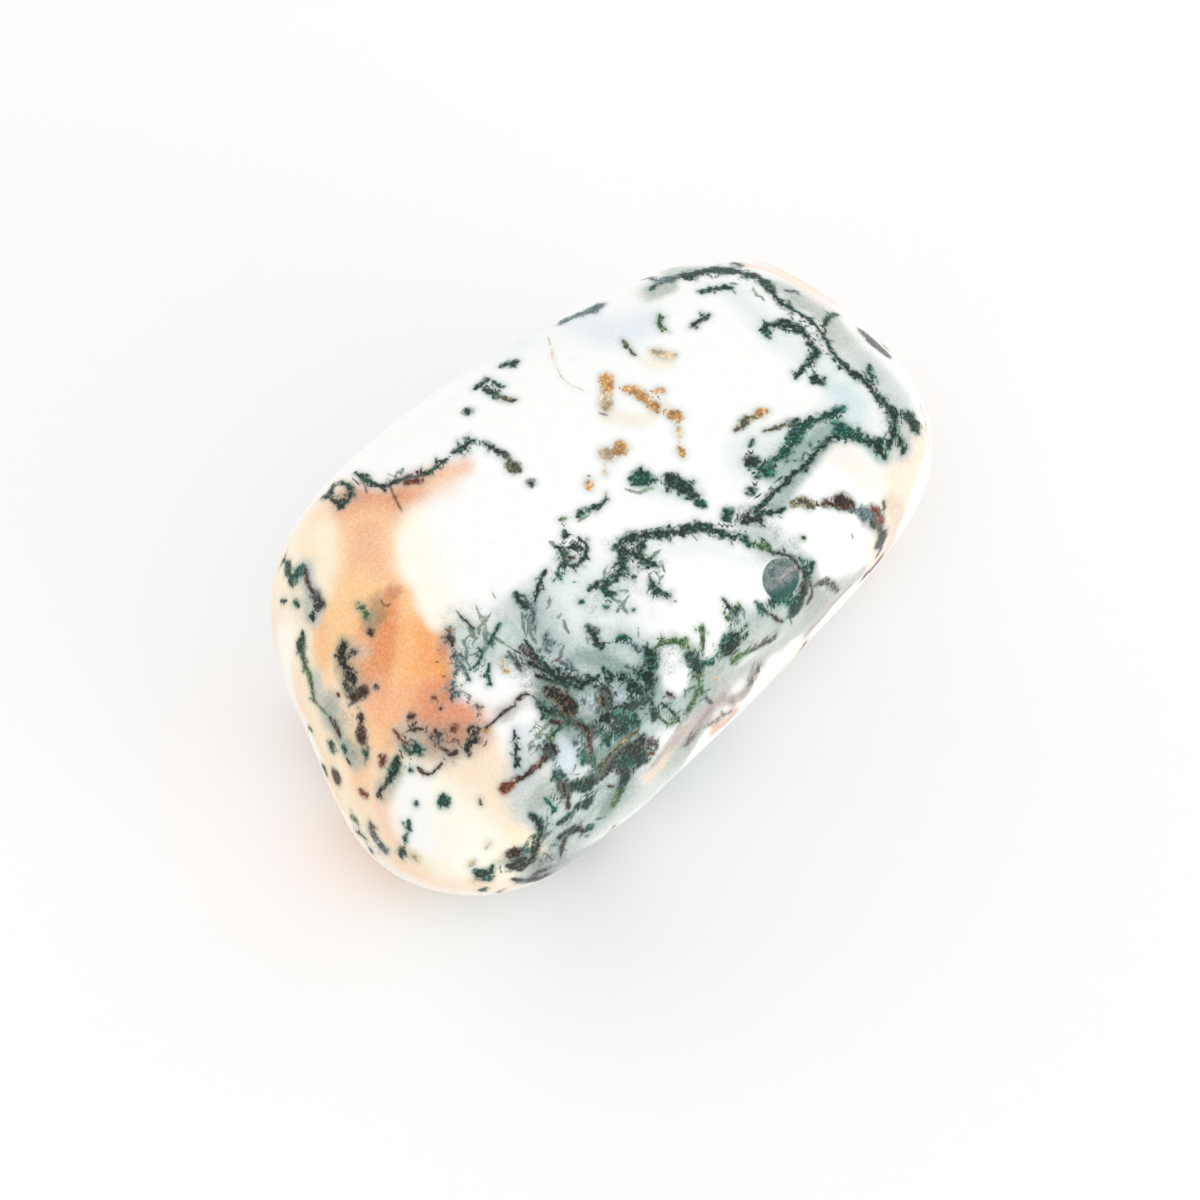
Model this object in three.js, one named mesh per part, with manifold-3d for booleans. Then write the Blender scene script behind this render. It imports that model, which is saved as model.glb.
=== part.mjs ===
// A tumbled tree agate: one worn piece of white chalcedony, long, low and rounded by the drum.
// Millimetres, +Z up, the long way along X. The stone lies on a small flat spot at z = 0, and the
// origin is under the middle of its box. Places on the stone are given from its heart, the point
// that all its worn sides are measured from.
import * as THREE from "three";
import { mergeVertices } from "three/addons/utils/BufferGeometryUtils.js";
import Module from "manifold-3d";

const wasm = await Module();
wasm.setup();

// The worn sides: which way each one faces, in degrees, and how far it stands from the heart.
// Azimuth 0 is +X, the far end, and -90 is -Y, the front.
const WORN_SIDES = [
  { name: "top", azimuth: 200, elevation: 86, distance: 5.7 },
  { name: "underside", azimuth: 0, elevation: -90, distance: 5.7 },
  { name: "front", azimuth: -94, elevation: 9, distance: 8.8 },
  { name: "front foot", azimuth: -84, elevation: -23, distance: 8.2 },
  { name: "front foot, near end", azimuth: -96, elevation: -28, distance: 10.8 },
  { name: "front foot, far end", azimuth: -60, elevation: -9, distance: 13.0 },
  { name: "front underside", azimuth: -90, elevation: -60, distance: 6.8 },
  { name: "back shoulder", azimuth: 76, elevation: 30, distance: 9.0 },
  { name: "back shoulder, near end", azimuth: 100, elevation: 21, distance: 10.4 },
  { name: "back underside", azimuth: 88, elevation: -35, distance: 7.8 },
  { name: "near end slope", azimuth: 180, elevation: 42, distance: 11.5 },
  { name: "near end, back corner", azimuth: 126, elevation: 5, distance: 14.2 },
  { name: "near end", azimuth: 152, elevation: -12, distance: 13.3 },
  { name: "near end foot", azimuth: -179, elevation: -28, distance: 17.2 },
  { name: "near end, front corner", azimuth: -139, elevation: -35, distance: 13.2 },
  { name: "far end slope", azimuth: 6, elevation: 48, distance: 12.3 },
  { name: "far end, back corner", azimuth: 20, elevation: 33, distance: 15.4 },
  { name: "far end", azimuth: -9, elevation: 23, distance: 15.1 },
  { name: "far end, front corner", azimuth: -40, elevation: 5, distance: 14.1 },
  { name: "far end underside", azimuth: 10, elevation: -35, distance: 12.2 },
];
// How little the edges between the sides are worn: 2 is a ball, 30 is a sharp block.
const EDGE_SHARPNESS = 10;

// Broad swellings, and hollows with a negative rise, that the drum left on the sides.
const SWELLINGS = [
  { name: "front knob", at: [-6.6, -8.1, -1.1], reach: 1.3, rise: 0.16 },
  { name: "notch past the knob", at: [-8.2, -7.8, -2.1], reach: 0.8, rise: -0.14 },
  { name: "front corner swelling", at: [-10.6, -6.2, -2.4], reach: 2.2, rise: 0.12 },
  { name: "hollow in the front face", at: [4.6, -8.2, 2.2], reach: 2.4, rise: -0.18 },
  { name: "hollow in the top edge", at: [-5.6, -5.4, 5.0], reach: 3.0, rise: -0.2 },
  { name: "crown of the top", at: [2.0, 2.0, 5.8], reach: 6.0, rise: 0.18 },
  { name: "dip of the top", at: [7.6, -2.4, 5.6], reach: 3.2, rise: -0.16 },
  { name: "dent in the back", at: [-2.4, 9.0, 0.6], reach: 2.6, rise: -0.3 },
  { name: "back ridge", at: [4.4, 9.2, -1.4], reach: 3.2, rise: 0.22 },
  { name: "dent under the back", at: [-7.2, 6.6, -3.8], reach: 2.4, rise: -0.28 },
  { name: "far end dent", at: [13.2, 2.4, -2.2], reach: 2.2, rise: -0.26 },
  { name: "near end dent", at: [-13.6, 3.4, -2.6], reach: 2.0, rise: -0.22 },
  { name: "front underside dent", at: [3.4, -6.2, -4.6], reach: 2.4, rise: -0.24 },
  { name: "far underside dent", at: [8.2, 2.6, -5.2], reach: 2.6, rise: -0.2 },
  { name: "belly", at: [-0.4, 0.4, -5.7], reach: 5.4, rise: 0.36 },
];

// The long crease low on the front face. It arches over a lens-shaped lip.
const CREASE_MIDDLE_X = -0.8;
const CREASE_HALF_LENGTH = 4.6;
const CREASE_TOP_Z = 1.4;
const CREASE_DROP = 2.1;
const CREASE_DEPTH = 0.36;
const CREASE_HALF_WIDTH = 0.62;
const LIP_RISE = 0.16;
const LIP_BELOW_CREASE = 1.35;
const LIP_HALF_WIDTH = 0.85;
const FRONT_FACE_Y = -6;

// The small round pit on the shoulder between the top and the front, open along its own axis.
const PIT_AT = new THREE.Vector3(1.3, -7.9, 4.95);
const PIT_AXIS = { azimuth: -96, elevation: 42 };
const PIT_RADIUS = 0.82;
const PIT_FLOOR_RADIUS = 0.5;
const PIT_DEPTH = 0.42;
const PIT_CUTTER_HEIGHT = 1.2;
const PIT_SEGMENTS = 24;

// The small flat spot that the stone rests on, worn into the belly of the underside.
const REST_LEVEL = -5.94;
const CUTTER_SIZE = 60;

// The skin is an even net of triangles, stretched as the stone is so that they stay alike in size.
const NET_DETAIL = 19;
const NET_STRETCH = new THREE.Vector3(14.5, 9, 6);

const UP = new THREE.Vector3(0, 0, 1);

function facing({ azimuth, elevation }) {
  const polar = THREE.MathUtils.degToRad(90 - elevation);
  const turn = THREE.MathUtils.degToRad(azimuth);
  return new THREE.Vector3(
    Math.sin(polar) * Math.cos(turn),
    Math.sin(polar) * Math.sin(turn),
    Math.cos(polar),
  );
}

const sides = WORN_SIDES.map((side) => ({ ...side, normal: facing(side) }));
const swellings = SWELLINGS.map((one) => ({ ...one, centre: new THREE.Vector3(...one.at) }));

// The distance from the heart to the block of worn sides, with its edges rounded together.
function wornRadius(direction) {
  let sum = 0;
  for (const { normal, distance } of sides) {
    sum += (Math.max(0, direction.dot(normal)) / distance) ** EDGE_SHARPNESS;
  }
  return sum ** (-1 / EDGE_SHARPNESS);
}

function bell(distance, reach) {
  return Math.exp(-((distance / reach) ** 2));
}

function swellingRelief(point) {
  let relief = 0;
  for (const { centre, reach, rise } of swellings) {
    relief += rise * bell(point.distanceTo(centre), reach);
  }
  return relief;
}

function creaseRelief(point) {
  const along = (point.x - CREASE_MIDDLE_X) / CREASE_HALF_LENGTH;
  if (point.y > FRONT_FACE_Y || Math.abs(along) >= 1) return 0;
  const fade = 1 - along ** 2;
  const above = point.z - (CREASE_TOP_Z - CREASE_DROP * along ** 2);
  const crease = -CREASE_DEPTH * Math.sqrt(fade) * bell(above, CREASE_HALF_WIDTH);
  const lip = LIP_RISE * fade * bell(above + LIP_BELOW_CREASE * fade, LIP_HALF_WIDTH);
  return crease + lip;
}

function skinPoint(direction) {
  const point = direction.clone().multiplyScalar(wornRadius(direction));
  const relief = swellingRelief(point) + creaseRelief(point);
  return point.addScaledVector(direction, relief);
}

function bareGeometry(geometry) {
  geometry.deleteAttribute("normal");
  geometry.deleteAttribute("uv");
  return mergeVertices(geometry, 1e-5);
}

function solidOf(geometry) {
  const bare = bareGeometry(geometry);
  return new wasm.Manifold(
    new wasm.Mesh({
      numProp: 3,
      vertProperties: bare.getAttribute("position").array,
      triVerts: new Uint32Array(bare.index.array),
    }),
  );
}

function geometryOf(solid) {
  const { vertProperties, triVerts } = solid.getMesh();
  const geometry = new THREE.BufferGeometry();
  geometry.setAttribute("position", new THREE.BufferAttribute(vertProperties, 3));
  geometry.setIndex(new THREE.BufferAttribute(triVerts, 1));
  geometry.computeVertexNormals();
  return geometry;
}

function skinSolid() {
  const net = bareGeometry(new THREE.IcosahedronGeometry(1, NET_DETAIL));
  const position = net.getAttribute("position");
  const direction = new THREE.Vector3();
  for (let i = 0; i < position.count; i += 1) {
    direction.fromBufferAttribute(position, i).multiply(NET_STRETCH).normalize();
    position.setXYZ(i, ...skinPoint(direction));
  }
  return solidOf(net);
}

// A cup with a flat floor and a flared wall, turned to face out of the shoulder.
function pitCutter() {
  const wallSlope = (PIT_RADIUS - PIT_FLOOR_RADIUS) / PIT_DEPTH;
  const mouthHeight = PIT_CUTTER_HEIGHT - PIT_DEPTH;
  const profile = [
    new THREE.Vector2(0, -PIT_DEPTH),
    new THREE.Vector2(PIT_FLOOR_RADIUS, -PIT_DEPTH),
    new THREE.Vector2(PIT_RADIUS + mouthHeight * wallSlope, mouthHeight),
    new THREE.Vector2(0, mouthHeight),
  ];
  const cup = new THREE.LatheGeometry(profile, PIT_SEGMENTS);
  const toZ = new THREE.Quaternion().setFromUnitVectors(new THREE.Vector3(0, 1, 0), UP);
  const toAxis = new THREE.Quaternion().setFromUnitVectors(UP, facing(PIT_AXIS));
  cup.applyQuaternion(toAxis.multiply(toZ));
  const mouth = skinPoint(PIT_AT.clone().normalize());
  cup.translate(mouth.x, mouth.y, mouth.z);
  return solidOf(cup);
}

function floorCutter() {
  const block = new THREE.BoxGeometry(CUTTER_SIZE, CUTTER_SIZE, CUTTER_SIZE);
  block.translate(0, 0, REST_LEVEL - CUTTER_SIZE / 2);
  return solidOf(block);
}

function stoneMesh() {
  const solid = skinSolid().subtract(pitCutter()).subtract(floorCutter());
  const geometry = geometryOf(solid);
  const material = new THREE.MeshStandardMaterial({
    color: 0xe9ebe6,
    roughness: 0.22,
    metalness: 0,
  });
  const stone = new THREE.Mesh(geometry, material);
  stone.name = "stone";
  geometry.computeBoundingBox();
  const { min, max } = geometry.boundingBox;
  stone.position.set(-(min.x + max.x) / 2, -(min.y + max.y) / 2, -min.z);
  return stone;
}

const agate = new THREE.Group();
agate.add(stoneMesh());

export default agate;
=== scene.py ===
"""Tumbled tree agate: the polished skin, its moss, rust and stains, and the studio around it."""

import logging
import math
from collections.abc import Iterable, Iterator
from dataclasses import dataclass, field, fields
from enum import Enum

import bpy
import numpy as np
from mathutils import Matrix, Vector
from mathutils.bvhtree import BVHTree


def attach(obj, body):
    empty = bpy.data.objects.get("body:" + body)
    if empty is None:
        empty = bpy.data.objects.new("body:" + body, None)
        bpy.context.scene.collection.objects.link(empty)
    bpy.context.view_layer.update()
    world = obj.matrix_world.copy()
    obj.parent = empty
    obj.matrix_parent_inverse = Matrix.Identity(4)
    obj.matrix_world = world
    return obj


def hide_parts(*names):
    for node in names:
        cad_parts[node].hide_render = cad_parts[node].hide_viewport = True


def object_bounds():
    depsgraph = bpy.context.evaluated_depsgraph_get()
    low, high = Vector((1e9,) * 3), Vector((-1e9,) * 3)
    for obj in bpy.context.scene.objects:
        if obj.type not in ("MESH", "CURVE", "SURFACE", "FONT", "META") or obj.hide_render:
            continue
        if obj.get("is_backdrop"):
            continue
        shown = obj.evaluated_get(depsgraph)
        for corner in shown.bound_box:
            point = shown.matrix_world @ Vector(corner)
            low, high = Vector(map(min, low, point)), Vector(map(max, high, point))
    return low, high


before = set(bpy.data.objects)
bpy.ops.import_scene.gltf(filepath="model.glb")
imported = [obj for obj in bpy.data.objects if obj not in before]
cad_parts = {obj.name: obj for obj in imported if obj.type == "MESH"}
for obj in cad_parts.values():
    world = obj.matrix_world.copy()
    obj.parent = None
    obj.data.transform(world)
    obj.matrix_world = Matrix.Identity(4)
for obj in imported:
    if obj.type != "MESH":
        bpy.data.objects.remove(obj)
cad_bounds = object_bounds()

log = logging.getLogger("tree_agate")

MM = 0.001
SEED = 20871

# The stone's heart, the point that its worn sides are measured from, and its half sizes.
HEART = Vector((0.29, -0.35, 5.94)) * MM
HALF_SIZES = Vector((14.5, 9.0, 6.0)) * MM

# The round pit on the shoulder: its place from the heart and the way that it faces.
PIT_FROM_HEART = Vector((1.38, -7.98, 4.92)) * MM
PIT_AZIMUTH = math.radians(-96)
PIT_ELEVATION = math.radians(42)
PIT_FLOOR_RADIUS = 0.56 * MM
PIT_MOUTH_RADIUS = 0.84 * MM
PIT_PATCH_RADIUS = 1.15 * MM
PIT_RAY_START = 3 * MM
PIT_NEAR = -1 * MM

# The skin's net: cells along each axis of the box that it starts from, and rounds of smoothing.
NET_CELLS = (190, 120, 86)
PATCH_ROUNDS = 160
SMOOTHING_ROUNDS = 26

# The camera: the photo's angle on the heart, and where the heart falls in the 1200-pixel picture.
CAMERA_AZIMUTH = math.radians(-47)
CAMERA_ELEVATION = math.radians(55)
CAMERA_DISTANCE = 250 * MM
PICTURE_SIZE = 1200
PIXELS_PER_METRE = 26 / MM
HEART_PIXEL = (602.5, 559.0)
SENSOR_WIDTH = 36.0

# How the marks are laid: sizes in pixels of the photo, or real sizes on the stone.
PATH_STEP = 3.0
PATH_WANDER = 0.7
FULL_WANDER_WIDTH = 6
WIDTH_WANDER = 0.26
STEEPEST_STRETCH = 0.45
LINE_REACH = 0.34 * MM
FAR_AWAY = 2.0 * MM
GUARD_MARGIN = 0.1 * MM
LEAST_HALF = 0.02 * MM
DOT_REACH = 0.4
TINY = 1e-12
LEAST_SPAN = 1e-8

# How strokes narrow: the width of their ends as a share, and where along them the full width begins.
STROKE_ENDS = 0.6
WALK_ENDS = 0.5
TAPER_LENGTH = 0.25
TAPER_POWER = 0.6

# What grows beside a mark: how likely it is at each point, and the span of each size.
SPROUTING_POINTS = 4
TWIG_CHANCE = 0.3
TWIG_TURNS = (0.6, 1.3)
TWIG_LENGTHS = (0.1 * MM, 0.3 * MM)
TWIG_HALVES = (0.03 * MM, 0.06 * MM)
TWIG_POINTS = 4
TWIG_TIP = 0.4
GRAIN_CHANCE = 0.22
GRAIN_GAPS = (0.04 * MM, 0.16 * MM)
GRAIN_REACHES = (0.005 * MM, 0.05 * MM)
GRAIN_HALVES = (0.025 * MM, 0.05 * MM)
HAIR_STEPS = 3
HAIR_BEND = 0.3

# How the stains are laid: the steps of their courses in pixels or degrees, the number of waves that
# their edges wander by, and for each wandering how far it goes and how wide its waves are.
STAIN_STEP = 12.0
FAR_STAIN_STEP = 6.0
WANDER_WAVES = 14
GROUND_WANDERS = ((0.26 * MM, 1.0 * MM), (0.05 * MM, 0.3 * MM))
VEIL_WANDER = (0.25 * MM, 0.5 * MM)

Socket = bpy.types.NodeSocket
Pixel = tuple[float, float]
Span = tuple[float, float]
Triple = tuple[float, float, float]
Tone = tuple[int, int, int]


def linear(tone: Tone) -> tuple[float, float, float, float]:
    """Turns an 8-bit sRGB tone into Blender's linear colour.

    Args:
        tone: red, green and blue from 0 to 255.

    Returns:
        The same colour as linear red, green, blue and full alpha.
    """
    shares = [part / 255 for part in tone]
    parts = [s / 12.92 if s <= 0.04045 else ((s + 0.055) / 1.055) ** 2.4 for s in shares]
    return (*parts, 1.0)


def facing(azimuth: float, elevation: float) -> Vector:
    """Gives the unit vector of a direction, 0 towards +X and rising to +Z, from angles in radians."""
    flat = math.cos(elevation)
    return Vector((flat * math.cos(azimuth), flat * math.sin(azimuth), math.sin(elevation)))


PIT_AXIS = facing(PIT_AZIMUTH, PIT_ELEVATION)
# The grey of the pit's bowl faces a little askew of the pit, as the photo shows it.
BOWL_AXIS = facing(math.radians(-112), math.radians(48))


class Ink(Enum):
    """What the marks are made of: the dark and the light tone of their grains."""

    MOSS = ((6, 34, 27), (68, 114, 94))
    TEAL = ((0, 56, 47), (54, 128, 108))
    SLATE = ((70, 92, 94), (138, 156, 156))
    OLIVE = ((50, 84, 50), (128, 150, 108))
    BLACK = ((13, 18, 16), (84, 92, 80))
    BROWN = ((50, 30, 26), (114, 88, 72))
    RUST = ((96, 42, 26), (158, 98, 70))
    OCHRE = ((178, 130, 74), (226, 190, 138))
    TAN = ((196, 176, 142), (228, 214, 188))
    FLECK = ((66, 72, 50), (158, 146, 106))
    GILT = ((30, 25, 20), (118, 96, 66))
    DUSK = ((58, 51, 53), (136, 126, 122))
    # Painted shade: the dark lines in the crease across the front face.
    CREASE = ((132, 122, 118), (190, 182, 174))

    @property
    def dark(self) -> tuple[float, float, float, float]:
        """The linear colour of the dark grains."""
        return linear(self.value[0])

    @property
    def light(self) -> tuple[float, float, float, float]:
        """The linear colour of the light grains."""
        return linear(self.value[1])


class Layer(Enum):
    """The layers that the marks are painted in, from the bottom up."""

    MOSS = "moss"
    RUST = "rust"
    THREAD = "thread"


# What each layer holds at each point of the skin, and its kind.
LAYER_DATA = {"Offset": "Vector", "Size": "Vector", "Dark": "Color", "Light": "Color"}

MOSS, TEAL, SLATE, OLIVE, BLACK, BROWN, RUST, OCHRE, TAN, FLECK, GILT, DUSK, CREASE = Ink
WARM_INKS = (BROWN, RUST, OCHRE, TAN, FLECK, GILT)
THREAD_WIDTH = 3.6
HAIR_WIDTHS = (1.4, 3.0)
MARK_STRENGTH = 0.97
THREAD_STRENGTH = 0.68
THREAD_HALO = 0.25

# How many times finer grains are laid over the grains of a plain and of a fine noise.
PLAIN_DETAIL = 3.0
FINE_DETAIL = 4.0


@dataclass(frozen=True)
class Stroke:
    """One drawn mark on the side that the photo shows.

    Args:
        ink: what it is made of.
        width: its width in pixels of the photo.
        points: its course in pixels of the photo. One point is a dot.
    """

    ink: Ink
    width: float
    points: tuple[Pixel, ...]

    @property
    def layer(self) -> Layer:
        """The layer that the stroke is painted in."""
        if self.width <= THREAD_WIDTH:
            return Layer.THREAD
        return Layer.RUST if self.ink in WARM_INKS else Layer.MOSS


@dataclass(frozen=True)
class Stain:
    """One soft cloud of colour in the ground.

    Args:
        tone: its sRGB tone.
        radius: full strength up to this far from its course, in pixels of the photo.
        softness: the width of its fading edge, in pixels.
        strength: how much of it covers the ground, 0 to 1.
        points: its course in pixels of the photo.
    """

    tone: Tone
    radius: float
    softness: float
    strength: float
    points: tuple[Pixel, ...]

    def laid(self, ground: "Ground") -> tuple[np.ndarray, float, float]:
        """Gives its course on the skin, and its radius and softness in metres."""
        course = [ground.seen((x, y))[0] for x, y in smooth_course(self.points, STAIN_STEP)]
        return np.array(course), self.radius / PIXELS_PER_METRE, self.softness / PIXELS_PER_METRE


@dataclass(frozen=True)
class FarStain(Stain):
    """A stain on a side that the photo doesn't show.

    Its radius and softness are in metres, and its points are azimuths and elevations in degrees,
    seen from the heart.
    """

    def laid(self, ground: "Ground") -> tuple[np.ndarray, float, float]:
        """Gives its course on the skin, and its radius and softness in metres."""
        course = [ground.met(*angles)[0] for angles in smooth_course(self.points, FAR_STAIN_STEP)]
        return np.array(course), self.radius, self.softness


def drawn(kind: type, *rows: tuple) -> tuple:
    """Makes one object of each row of values.

    Args:
        kind: the class of the objects. Its last field is a course.
        rows: the values of the other fields, and after them the points of the course.

    Returns:
        The objects, in the order of the rows.
    """
    plain = len(fields(kind)) - 1
    return tuple(kind(*row[:plain], row[plain:]) for row in rows)


WHITE = (250, 250, 248)
CREAM = (252, 240, 214)
PEACH = (249, 212, 174)
ORANGE = (247, 190, 138)
HAZE = (224, 234, 231)
GREEN_GREY = (172, 190, 184)
DEEP_HAZE = (116, 140, 132)
BLUE_WHITE = (216, 224, 230)
# Painted shade: the grey of the front and lower faces, which turn away from the light.
FACE_SHADE_GREY = (204, 209, 204)
WARM_GREY = (208, 202, 194)

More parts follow.
